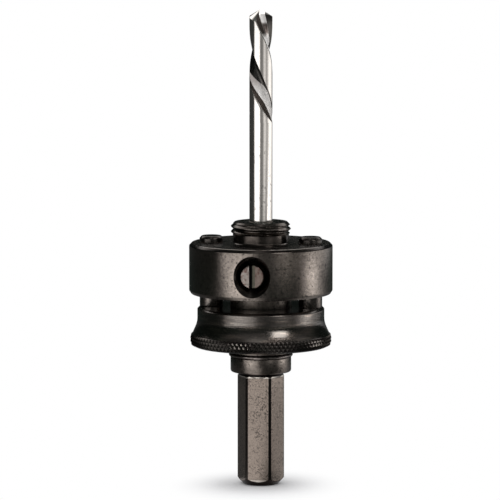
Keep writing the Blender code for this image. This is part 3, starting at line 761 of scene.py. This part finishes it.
def turned_body(material):
    """Body in one grid: shank, neck, journal with its groove, head, thread, and the bore inside."""
    sizes = bpy.context.scene.arbor_body
    angle = hexagon_angles()
    journal = sizes.journal_diameter / 2
    thread_bottom = THREAD_TOP - sizes.thread_length
    groove = SNAP_HIGH.x - 1.2 * MM
    groove_half = 0.6 * MM
    thread_neck = 7.45 * MM
    bore = DRILL_RADIUS + 0.2 * MM
    socket_bottom = DRILL_LOW.z - 0.1 * MM
    edge = 0.15 * MM
    radius, height = rounded([
        (NECK_RADIUS, sizes.shank_length + 0.02 * MM, 0),
        (NECK_RADIUS, JOURNAL_BOTTOM, 0.08 * MM),
        (journal, JOURNAL_BOTTOM, 0.70 * MM),
        (journal, SNAP_Z - groove_half, 0.06 * MM),
        (groove, SNAP_Z - groove_half, 0.05 * MM),
        (groove, SNAP_Z + groove_half, 0.05 * MM),
        (journal, SNAP_Z + groove_half, 0.06 * MM),
        (journal, HEAD_BOTTOM, 0.25 * MM),
        (HEAD_RADIUS - 0.55 * MM, HEAD_BOTTOM, edge),
        (HEAD_RADIUS, HEAD_BOTTOM + 0.85 * MM, edge),
        (HEAD_RADIUS, HEAD_TOP - 0.75 * MM, edge),
        (HEAD_RADIUS - 0.70 * MM, HEAD_TOP, edge),
        (thread_neck, HEAD_TOP, 0.45 * MM),
        (thread_neck, thread_bottom - 0.01 * MM, 0),
    ])
    outside = polar(radius, height, angle)
    thread = thread_rows(angle, sizes, thread_neck, thread_bottom, THREAD_TOP - 0.02 * MM)
    radius, height = rounded([
        (sizes.thread_diameter / 2 - sizes.thread_chamfer - 0.12 * MM, THREAD_TOP, 0),
        (bore + 0.35 * MM, THREAD_TOP, 0.08 * MM),
        (bore, THREAD_TOP - 0.35 * MM, 0.08 * MM),
        (bore, socket_bottom, 0),
        (bore * 0.4, socket_bottom - bore * 0.3, 0),
    ])
    inside = polar(radius, height, angle)
    grid = np.concatenate((shank_rows(angle, sizes), outside, thread, inside))
    body = lathe("turned_body", grid)
    combine(body, [screw_hole_cutter(sizes)] + [pin_hole_cutter(side) for side in (-1, 1)])
    dress(body, material, 22)
    return body


def screw_hole_cutter(sizes):
    """Cutter of the set screw's hole: a plain round hole out from the bore, and a cone at its mouth."""
    tapped = SCREW_RADIUS + 0.2 * MM
    cone_start = HEAD_RADIUS - sizes.countersink_diameter / 2
    outside = HEAD_RADIUS + 1.7 * MM
    return turned("screw_hole", [
        (tapped, DRILL_RADIUS / 2, 0),
        (tapped, cone_start + tapped, 0.08 * MM),
        (outside - cone_start, outside, 0),
    ], TOWARD_FRONT)


def pin_hole_cutter(side):
    """Cutter of one drive pin's hole through the head, a little wider at both mouths."""
    hole = PIN_RADIUS + 0.2 * MM
    edge = 0.15 * MM
    return turned("pin_hole", [
        (hole + 2 * edge, HEAD_BOTTOM - edge, 0),
        (hole, HEAD_BOTTOM + edge, 0),
        (hole, HEAD_TOP - edge, 0),
        (hole + 2 * edge, HEAD_TOP + edge, 0),
    ], Matrix.Translation((side * PIN_X, 0, 0)), half_step=1)


def drill_section(sizes, depths=(0, 0), ground=0, wider=(0.0, 0.0)):
    """Points of the drill's cross-section, and how far each one is along its land.

    A flute is a gentle heel wall, a hollow bottom and a steep lip wall, spaced evenly along its length.
    The depths, from 0 to 1, move both flutes from the full circle to that outline. A land keeps the full
    radius and is bevelled at its heel, by the bevel's depth times ground. The two angles in wider are
    added to the flute's half width on the heel's side and on the lip's side.
    """
    heel, lip = [sizes.flute_width / 2 + more for more in wider]
    bevel = sizes.heel_bevel * ground
    bevel_start = 0.91
    bevel_width = 0.08
    heel_radius = DRILL_RADIUS - bevel
    across, aside = rounded([
        (heel_radius * math.cos(heel), -heel_radius * math.sin(heel), 0),
        (1.95 * MM, -0.45 * MM, 0.30 * MM),
        (1.58 * MM, 0.35 * MM, 0.35 * MM),
        (1.62 * MM, 1.15 * MM, 0.35 * MM),
        (DRILL_RADIUS * math.cos(lip), DRILL_RADIUS * math.sin(lip), 0),
    ], FLUTE_CORNER_STEPS)
    outline = (across + 1j * aside)[:, 0]
    length = np.concatenate(([0], np.cumsum(np.abs(np.diff(outline)))))
    flute = np.arange(FLUTE_COLUMNS) / FLUTE_COLUMNS
    outline = np.interp(flute * length[-1], length, outline)
    circle = DRILL_RADIUS * np.exp(1j * ((lip + heel) * flute - heel))
    land = np.arange(LAND_COLUMNS) / LAND_COLUMNS
    land_width = math.pi - lip - heel
    land_radius = DRILL_RADIUS - bevel * np.clip((land - bevel_start) / bevel_width, 0, 1)
    land_points = land_radius * np.exp(1j * (lip + land_width * land))
    halves = []
    for depth, turn in zip(depths, (1, -1)):
        flute_points = circle + depth * (outline - circle)
        halves.append(turn * np.concatenate((flute_points, land_points)))
    along = np.concatenate(((1 - flute) ** 2 * np.abs(outline) / DRILL_RADIUS, land))
    return np.concatenate(halves), np.concatenate((along, along))


def twist_drill(material):
    """Twist drill: the section turns by one turn in each lead, and the flutes deepen over their run-out.

    At some distances below the tip, tables give how much wider the flutes are on the heel's side and on
    the lip's side, in degrees. On the point a column's height is
    tip - radius / tan(point angle / 2) - relief * share of its land.
    """
    sizes = bpy.context.scene.arbor_drill
    tip = DRILL_HIGH.z
    slope = 1 / math.tan(sizes.point_angle / 2)
    relief = 1.4 * MM
    end_chamfer = 0.4 * MM
    flute_ends = [tip - sizes.flute_length + offset for offset in (-1.0 * MM, 1.0 * MM)]
    run_out = 7.0 * MM
    shoulder = tip - DRILL_RADIUS * slope - relief
    distances = np.array((3.0, 8.0, 11.0, 20.0, 28.0, 31.0)) * MM
    heel_widths = np.radians((-5, -6, -4, 15, 1, -30))
    lip_widths = np.radians((33, 15, 8, -4, -5, -5))

    def place(section, height):
        """Section turned about the axis and put at a height. The helix rises to the left."""
        along = np.maximum(height, flute_ends[0]) - FLUTE_HEIGHT
        placed = section * np.exp(1j * (FLUTE_ANGLE - 2 * math.pi * along / sizes.lead))
        return np.stack(np.broadcast_arrays(placed.real, placed.imag, height), axis=-1)

    section, _ = drill_section(sizes)
    rows = [
        place(section * (1 - end_chamfer / DRILL_RADIUS), DRILL_LOW.z),
        place(section, DRILL_LOW.z + end_chamfer),
    ]
    for height in np.linspace(flute_ends[0], shoulder, FLUTE_ROWS):
        depths = [min(1.0, max(0.0, (height - low) / run_out)) for low in flute_ends]
        wider = [np.interp(tip - height, distances, widths) for widths in (heel_widths, lip_widths)]
        section, _ = drill_section(sizes, depths, min(1.0, (height - flute_ends[0]) / run_out), wider)
        rows.append(place(section, height))
    section, along = drill_section(sizes, (1, 1), 1, wider)
    rim = tip - np.abs(section) * slope - relief * along
    for share in np.linspace(0, 1, RIM_ROWS)[1:]:
        rows.append(place(section, shoulder + (rim - shoulder) * share))
    on_rim = place(section, rim)
    top = np.array((0, 0, tip))
    for share in np.linspace(1, 0, POINT_ROWS)[1:-1]:
        rows.append(top + share * (on_rim - top))
    drill = lathe("twist_drill", np.stack(rows), sharp=24)
    combine(drill, [flat_cutter()])
    dress(drill, material, 24)
    return drill


def flat_cutter():
    """Block that grinds the flat on the drill's hidden shank, where the set screw bears."""
    length = 9.0 * MM
    bearing = -DRILL_RADIUS + 0.4 * MM
    half = 2 * DRILL_RADIUS
    heights = np.array([[SCREW_Z - length / 2], [SCREW_Z + length / 2]])
    matrix = Matrix.Translation((0, bearing - half, 0))
    return lathe("drill_flat", polar(half * math.sqrt(2), heights, SQUARE), matrix=matrix)


def slotted_screw(material):
    """Set screw with a slot across its face and turned grooves like a thread on its hidden side."""
    angle = round_angles(half_step=1)
    point = -SCREW_HIGH.y
    face = -SCREW_LOW.y
    inner = SCREW_RADIUS - 0.8 * MM
    pitch = 1.0 * MM
    groove = 0.35 * MM
    thread_low = point + 0.9 * MM
    thread_high = face - 0.9 * MM
    height = np.linspace(thread_low, thread_high, SCREW_ROWS)[:, None]
    turn = (height / pitch - angle / (2 * math.pi)) % 1.0
    ends = np.minimum(height - thread_low, thread_high - height) / groove
    depth = groove * np.abs(2 * turn - 1) * np.clip(ends, 0, 1)
    thread = polar(SCREW_RADIUS - depth, height, angle)
    bottom = polar(*rounded([(inner, point, 0), (SCREW_RADIUS, point + 0.8 * MM, 0)]), angle)
    top = polar(*rounded([
        (SCREW_RADIUS, face - 0.7 * MM, 0),
        (SCREW_RADIUS, face - 0.2 * MM, 0.1 * MM),
        (SCREW_RADIUS - 0.2 * MM, face, 0.08 * MM),
        (SCREW_RADIUS - 0.8 * MM, face, 0),
    ]), angle)
    screw = lathe("slotted_screw", np.concatenate((bottom, thread, top)), matrix=TOWARD_FRONT)
    combine(screw, [slot_cutter()])
    dress(screw, material, 25)
    return screw


def slot_cutter():
    """Block that cuts the screw's slot, upright in the face."""
    half_width = 0.8 * MM
    depth = 1.9 * MM
    unit_block = polar(math.sqrt(2), np.array([[-1.0], [1.0]]), SQUARE)
    block = unit_block * np.array((half_width, depth, 2 * SCREW_RADIUS))
    return lathe("screw_slot", block, matrix=Matrix.Translation((0, SCREW_LOW.y, SCREW_Z)))


def knurled_collar(material):
    """Collar in one ring of grid: bore with its groove, bottom, diamond knurl, flare, rim and top.

    The knurl is a height field. With a and b the angle and height along its two sets of grooves, the
    depth is the knurl's times the larger of |2 frac(a) - 1| and |2 frac(b) - 1|, less its flat tops. The
    flare is a cone with a rounded corner where it meets the upright rim.
    """
    sizes = bpy.context.scene.arbor_collar
    angle = round_angles(columns=sizes.knurl_count * COLUMNS_A_DIAMOND)
    bottom, top = COLLAR_LOW.z, COLLAR_HIGH.z
    bore = bpy.context.scene.arbor_body.journal_diameter / 2 + 0.2 * MM
    groove = GRIP_HIGH.x + 0.2 * MM
    groove_half = 0.7 * MM
    crest = COLLAR_HIGH.x
    rim = sizes.rim_diameter / 2
    lip = sizes.lip_diameter / 2
    rim_edge = 0.55 * MM
    helix = math.radians(33.5)
    flat_top = 0.16
    row_height = math.pi * crest / sizes.knurl_count / math.tan(helix)
    knurl_low = bottom + 0.42 * MM
    knurl_high = knurl_low + KNURL_ROWS * row_height
    flare_top = knurl_high + sizes.flare_height
    height = np.linspace(knurl_low, knurl_high, KNURL_STEPS + 1)[:, None]
    around = angle * sizes.knurl_count / (2 * math.pi)
    upward = (height - knurl_low) / (2 * row_height)
    ridges = [np.abs(2 * ((around + way * upward) % 1.0) - 1) for way in (1, -1)]
    depth = np.clip(np.maximum(*ridges) - flat_top, 0, 1) / (1 - flat_top)
    ends = np.minimum(height - knurl_low, knurl_high - height) / (0.5 * row_height)
    lower_edge = 0.25 * MM * np.clip(1 - (height - knurl_low) / row_height, 0, 1)
    end_cut = 0.22 * MM * np.clip(1 - ends, 0, 1)
    knurl = polar(crest - sizes.knurl_depth * depth - np.maximum(lower_edge, end_cut), height, angle)
    under = polar(*rounded([
        (groove, GRIP_Z + groove_half, 0),
        (groove, GRIP_Z - groove_half, 0),
        (bore, GRIP_Z - groove_half, 0.06 * MM),
        (bore, bottom + 0.4 * MM, 0.1 * MM),
        (bore + 0.4 * MM, bottom, 0.1 * MM),
        (lip - 0.8 * MM, bottom, 0.2 * MM),
        (crest - 0.55 * MM, knurl_low - 0.02 * MM, 0),
    ]), angle)
    over = polar(*rounded([
        (lip, knurl_high, 0),
        (lip - 0.12 * MM, knurl_high + 0.12 * MM, 0),
        (rim, flare_top, 1.2 * MM),
        (rim, top - rim_edge, 0.12 * MM),
        (rim - rim_edge, top, 0.12 * MM),
        (bore + 0.4 * MM, top, 0.1 * MM),
        (bore, top - 0.4 * MM, 0.1 * MM),
        (bore, GRIP_Z + groove_half, 0),
    ]), angle)
    collar = lathe("knurled_collar", np.concatenate((under, knurl, over)), ring=True)
    combine(collar, [tenon_hole_cutter(side) for side in (-1, 1)])
    dress(collar, material, 24)
    return collar


def tenon_hole_cutter(side):
    """Cutter of the hole in the collar that takes one pin's tenon."""
    hole = 2.5 * MM
    ends = [(hole, PIN_LOW.z - 0.1 * MM, 0), (hole, COLLAR_HIGH.z + 0.2 * MM, 0)]
    return turned("tenon_hole", ends, Matrix.Translation((side * PIN_X, 0, 0)), half_step=1)


def stepped_pin(name, side, material):
    """Drive pin: a tenon, a shoulder on the collar, and a plain top with a chamfered edge."""
    tenon = 2.3 * MM
    shoulder = COLLAR_HIGH.z + 0.1 * MM
    return turned(name, [
        (tenon - 0.2 * MM, PIN_LOW.z, 0),
        (tenon, PIN_LOW.z + 0.2 * MM, 0),
        (tenon, shoulder, 0),
        (PIN_RADIUS, shoulder, 0.08 * MM),
        (PIN_RADIUS, PIN_HIGH.z - 0.6 * MM, 0.15 * MM),
        (PIN_RADIUS - 0.6 * MM, PIN_HIGH.z, 0.15 * MM),
        (PIN_RADIUS - 1.2 * MM, PIN_HIGH.z, 0),
    ], Matrix.Translation((side * PIN_X, 0, 0)), material)


def open_ring(name, low, high, opening, material):
    """Open ring of round wire in the box from low to high. Its gap faces +Y and its ends are rounded.

    A point is at (R + w cos v, w sin v) across the wire, with R the ring's radius, w the wire's and v the
    angle round the wire. At both ends w shrinks as the root of a circle does.
    """
    wire = (high.z - low.z) / 2
    ring_radius = high.x - wire
    start = (math.pi + opening) / 2
    end = (math.pi - opening) / 2 + 2 * math.pi
    ease = np.linspace(0, math.pi / 2, CORNER_STEPS + 2)
    cap = wire / ring_radius
    caps = cap * (1 - np.cos(ease))
    middle = np.linspace(start + cap, end - cap, WIRE_ROWS)[1:-1]
    way = np.concatenate((start + caps, middle, end - caps[::-1]))[:, None]
    share = np.concatenate((np.sin(ease), np.ones(len(middle)), np.sin(ease[::-1])))[:, None]
    thinnest = 0.05
    thin = np.maximum(share, thinnest) * wire
    around = round_angles(columns=WIRE_COLUMNS)
    grid = polar(ring_radius + thin * np.cos(around), (low.z + high.z) / 2 + thin * np.sin(around), way)
    return lathe(name, grid[::-1], material, sharp=50)


class ARBOR_OT_body(bpy.types.Operator):
    """Build the blackened body with its thread, holes and hexagon shank"""

    bl_idname = "arbor.body"
    bl_label = "Turned Body"

    def execute(self, context):
        body = turned_body(blackened_steel(context.scene.arbor_finish))
        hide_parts("arbor_body")
        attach(body, "arbor")
        return {"FINISHED"}


class ARBOR_OT_drill(bpy.types.Operator):
    """Build the twist drill"""

    bl_idname = "arbor.drill"
    bl_label = "Twist Drill"

    def execute(self, context):
        drill = twist_drill(drill_steel(context.scene.arbor_finish))
        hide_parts("pilot_drill")
        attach(drill, "arbor")
        return {"FINISHED"}


class ARBOR_OT_screw(bpy.types.Operator):
    """Build the slotted set screw"""

    bl_idname = "arbor.screw"
    bl_label = "Set Screw"

    def execute(self, context):
        screw = slotted_screw(screw_steel(context.scene.arbor_finish))
        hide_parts("set_screw")
        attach(screw, "screw")
        return {"FINISHED"}


class ARBOR_OT_collar(bpy.types.Operator):
    """Build the knurled collar and its two drive pins"""

    bl_idname = "arbor.collar"
    bl_label = "Collar and Pins"

    def execute(self, context):
        finish = context.scene.arbor_finish
        collar = knurled_collar(blackened_collar_steel(finish))
        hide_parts("drive_collar")
        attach(collar, "collar")
        material = pin_steel(finish)
        for name, node, side in (("left_pin", "drive_pin_left", -1), ("right_pin", "drive_pin_right", 1)):
            pin = stepped_pin(name, side, material)
            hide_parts(node)
            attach(pin, "collar")
        return {"FINISHED"}


class ARBOR_OT_rings(bpy.types.Operator):
    """Build the snap ring under the collar and the wire ring in its bore"""

    bl_idname = "arbor.rings"
    bl_label = "Wire Rings"

    def execute(self, context):
        material = spring_steel()
        snap = open_ring("snap_wire", SNAP_LOW, SNAP_HIGH, math.radians(26), material)
        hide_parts("snap_ring")
        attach(snap, "arbor")
        grip = open_ring("grip_wire", GRIP_LOW, GRIP_HIGH, math.radians(20), material)
        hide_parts("grip_ring")
        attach(grip, "collar")
        return {"FINISHED"}


def azimuth_ramp(tree, azimuth, stops, green=0.2):
    """Brightness by azimuth, from stops of degrees from the camera (right positive) and brightness.

    The ramp holds its share of the studio's peak. Dark parts are a little green, as dark cards are.
    """
    dark_below = 0.15
    places = []
    for degrees, value in stops:
        shade = max(0.0, 1 - value / dark_below) * green
        colour = (value * (1 - 0.75 * shade), value * (1 + shade), value * (1 + 0.2 * shade))
        places.append(((degrees + 180) / 360, tuple(channel / STUDIO_PEAK for channel in colour)))
    return tree.add("ShaderNodeValToRGB", {"stops": places}, {"Fac": azimuth})


def surround_material():
    """Glow of the studio round the arbor: two soft lamps beside the camera, and dark cards elsewhere.

    On the ground it goes by azimuth and radius, above it by azimuth and elevation.
    """
    stage = bpy.context.scene.arbor_stage
    material = bpy.data.materials.new("studio_surround")
    tree = Tree(material)
    x, y, z, _ = tree.place()
    angle = x.math("ARCTAN2", 0 - y) - stage.camera_azimuth
    azimuth = (angle / (2 * math.pi) + 0.5).math("FRACT")
    degrees = (azimuth - 0.5) * 360
    radius = (x * x + y * y).math("SQRT")
    centre_height = 50.0
    elevation = (z - centre_height).math("ARCTAN2", radius) * (180 / math.pi)
    shank = azimuth_ramp(tree, azimuth, [
        (-180, 0.1), (-100, 0.12), (-70, 0.12), (-58, 0.65), (-45, 1.45), (-12, 1.3), (-2, 0.55), (8, 0.16),
        (20, 0.1), (60, 0.1), (75, 0.35), (95, 0.75), (112, 0.75), (124, 0.4), (140, 0.14), (180, 0.1)], 0.04)
    journal = azimuth_ramp(tree, azimuth, [
        (-180, 0.03), (-85, 0.05), (-70, 0.25), (-59, 1.0), (-51, 2.1), (-43, 3.6), (-34, 4.2), (-27, 3.2),
        (-19, 1.9), (-11, 1.2), (-4, 0.5), (4, 0.22), (12, 0.1), (50, 0.1), (62, 0.25), (78, 1.0),
        (92, 1.6), (104, 1.5), (116, 0.8), (130, 0.15), (180, 0.03)])
    head = azimuth_ramp(tree, azimuth, [
        (-180, 0.02), (-85, 0.05), (-72, 0.1), (-66, 0.2), (-60, 0.8), (-52, 3.0), (-44, 4.3), (-38, 4.3),
        (-31, 3.4), (-22, 1.5), (-13, 0.42), (-6, 0.17), (4, 0.1), (14, 0.06), (50, 0.05), (58, 0.1),
        (66, 0.4), (72, 1.4), (80, 4.4), (88, 5.8), (95, 4.8), (103, 2.0), (112, 0.5), (122, 0.12),
        (135, 0.06), (180, 0.02)])
    drill = azimuth_ramp(tree, azimuth, [
        (-180, 0.05), (-85, 0.055), (-72, 0.07), (-67, 1.0), (-62, 2.3), (-14, 2.3), (-8, 0.45), (0, 0.28),
        (18, 0.33), (26, 0.8), (39, 1.25), (50, 0.75), (61, 0.5), (73, 0.9), (86, 1.6), (100, 1.8),
        (126, 1.4), (140, 0.5), (152, 0.15), (180, 0.05)], 0.04)
    middle = azimuth_ramp(tree, azimuth, [
        (-180, 0.009), (-70, 0.03), (-50, 0.08), (-20, 0.1), (20, 0.1), (60, 0.05), (78, 0.12),
        (92, 0.15), (104, 0.1), (120, 0.03), (180, 0.009)])
    high = azimuth_ramp(tree, azimuth, [
        (-180, 0.05), (-90, 0.06), (-60, 0.15), (-30, 0.3), (0, 0.3), (45, 0.15), (70, 0.3), (90, 0.4),
        (104, 0.25), (120, 0.1), (180, 0.05)])
    top = azimuth_ramp(tree, azimuth, [
        (-180, 0.2), (-95, 0.08), (-45, 0.15), (-15, 1.0), (0, 0.8), (20, 0.3), (95, 0.1), (180, 0.2)])
    ground = tree.coats(
        shank,
        (radius.rise(200.0, 260.0), journal),
        (radius.rise(300.0, 390.0), head),
        (radius.rise(560.0, 640.0), drill))
    back = degrees.math("ABSOLUTE").rise(112.0, 130.0) * elevation.rise(27.0, 32.0)
    key = degrees.rise(20.0, 26.0) * degrees.fall(46.0, 54.0)
    key = key * elevation.rise(22.0, 28.0) * elevation.fall(42.0, 48.0)
    air = tree.coats(
        drill,
        (elevation.rise(0.5, 3.5), middle),
        (elevation.rise(30.0, 38.0), high),
        (elevation.rise(46.0, 54.0), top),
        (back, (0.22, 0.22, 0.22)),
        (key, (0.9, 0.9, 0.9)))
    glow = tree.colour_mix(z.rise(0.5, 2.0), ground, air)
    emission = tree.add("ShaderNodeEmission", None, {"Color": glow, "Strength": STUDIO_PEAK})
    tree.add("ShaderNodeOutputMaterial", None, {"Surface": emission})
    return material


def studio_surround():
    """Dome and ground of the studio that only reflections see, as one turned grid of radius and height.

    The ground starts just outside the shank, a little above the floor.
    """
    angle = round_angles(columns=DOME_COLUMNS)
    profile = np.array([(8.5, 0.4), (900.0, 0.4), (900.0, 1000.0), (1.0, 1400.0)]) * MM
    grid = polar(profile[:, :1], profile[:, 1:], angle)
    rows, columns = grid.shape[:2]
    index = np.arange(rows * columns).reshape(rows, columns)
    after = np.roll(index, -1, axis=1)
    quads = np.stack((index[:-1], after[:-1], after[1:], index[1:]), axis=-1).reshape(-1, 4)
    dome = new_piece("studio_surround", grid.reshape(-1, 3), [quads], surround_material())
    dome.visible_camera = False
    dome.visible_diffuse = False
    dome.visible_transmission = False
    dome.visible_shadow = False


def white_floor():
    """White floor, lit by the world and one lamp above, that fades into the white background.

    The fade is an ellipse round a place a little in front of the arbor's axis.
    """
    material = bpy.data.materials.new("white_floor")
    tree = Tree(material)
    x, y, _, _ = tree.place()
    fade_centre = -5.0
    flatten = 0.8
    forward = (y - fade_centre) * flatten
    far = (x * x + forward * forward).math("SQRT").rise(5.0, 26.0)
    diffuse = tree.add("ShaderNodeBsdfDiffuse", None, {"Color": (0.8, 0.8, 0.81, 1)})
    rays = tree.add("ShaderNodeLightPath", output="Is Camera Ray")
    seen = rays + rays.other("Is Glossy Ray") + rays.other("Is Transmission Ray")
    seen = seen.math("MINIMUM", 1.0)
    glow = tree.add("ShaderNodeEmission", None, {"Color": (1, 1, 1, 1), "Strength": seen})
    surface = tree.add("ShaderNodeMixShader", None, {0: far, 1: diffuse, 2: glow})
    tree.add("ShaderNodeOutputMaterial", None, {"Surface": surface})
    half = 4.0
    corners = np.array([(-half, -half, 0), (half, -half, 0), (half, half, 0), (-half, half, 0)])
    floor = new_piece("white_floor", corners, [np.array([[0, 1, 2, 3]])], material)


def floor_lamp():
    """Soft lamp above the arbor that lights the floor and gives its shadow."""
    lamp = bpy.data.lights.new("floor_lamp", "AREA")
    lamp.shape = "DISK"
    lamp.size = 0.45
    lamp.energy = 2.6
    obj = bpy.data.objects.new("floor_lamp", lamp)
    obj.location = (0.03, -0.02, 0.8)
    obj.visible_glossy = False
    bpy.context.scene.collection.objects.link(obj)


def white_world():
    """Plain white world."""
    world = bpy.data.worlds.new("studio")
    bpy.context.scene.world = world
    tree = Tree(world)
    background = tree.add("ShaderNodeBackground", None, {"Color": (1, 1, 1, 1), "Strength": 1.0})
    tree.add("ShaderNodeOutputWorld", None, {"Surface": background})


def photo_camera():
    """Camera at the picture's view: its place, pitch and lens, aimed a little left of the axis."""
    stage = bpy.context.scene.arbor_stage
    camera = bpy.data.cameras.new("camera")
    camera.sensor_width = 36
    camera.lens = stage.lens
    obj = bpy.data.objects.new("camera", camera)
    azimuth = stage.camera_azimuth
    level = stage.camera_distance
    obj.location = (level * math.sin(azimuth), -level * math.cos(azimuth), stage.camera_height)
    aside = math.atan(stage.axis_offset * camera.sensor_width / stage.lens)
    obj.rotation_euler = Euler((math.pi / 2 - stage.camera_pitch, 0, azimuth + aside))
    bpy.context.scene.collection.objects.link(obj)
    bpy.context.scene.camera = obj


class ARBOR_OT_stage(bpy.types.Operator):
    """Set up the white floor, its lamp, the studio round the arbor and the camera"""

    bl_idname = "arbor.stage"
    bl_label = "Stage"

    def execute(self, context):
        context.scene.view_settings.view_transform = "Standard"
        white_world()
        white_floor()
        studio_surround()
        floor_lamp()
        photo_camera()
        return {"FINISHED"}


OPERATORS = (ARBOR_OT_body, ARBOR_OT_drill, ARBOR_OT_screw, ARBOR_OT_collar, ARBOR_OT_rings, ARBOR_OT_stage)
GROUPS = {
    "arbor_body": ArborBodySizes,
    "arbor_drill": ArborDrillSizes,
    "arbor_collar": ArborCollarSizes,
    "arbor_finish": ArborFinish,
    "arbor_stage": ArborStage,
}


class ARBOR_PT_panel(bpy.types.Panel):
    """Lists the arbor's sizes, colours and operators"""

    bl_idname = "ARBOR_PT_panel"
    bl_label = "Hole Saw Arbor"
    bl_space_type = "VIEW_3D"
    bl_region_type = "UI"
    bl_category = "Arbor"

    def draw(self, context):
        for name, group in GROUPS.items():
            box = self.layout.box()
            for field in group.__annotations__:
                box.prop(getattr(context.scene, name), field)
        for operator in OPERATORS:
            self.layout.operator(operator.bl_idname)


def register():
    for group in GROUPS.values():
        bpy.utils.register_class(group)
    for name, group in GROUPS.items():
        setattr(bpy.types.Scene, name, PointerProperty(type=group))
    for operator in OPERATORS:
        bpy.utils.register_class(operator)
    bpy.utils.register_class(ARBOR_PT_panel)


def unregister():
    bpy.utils.unregister_class(ARBOR_PT_panel)
    for operator in reversed(OPERATORS):
        bpy.utils.unregister_class(operator)
    for name, group in GROUPS.items():
        delattr(bpy.types.Scene, name)
        bpy.utils.unregister_class(group)


def main():
    """Register the classes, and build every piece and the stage."""
    register()
    bpy.ops.arbor.body()
    bpy.ops.arbor.drill()
    bpy.ops.arbor.screw()
    bpy.ops.arbor.collar()
    bpy.ops.arbor.rings()
    bpy.ops.arbor.stage()


if __name__ == "__main__":
    main()
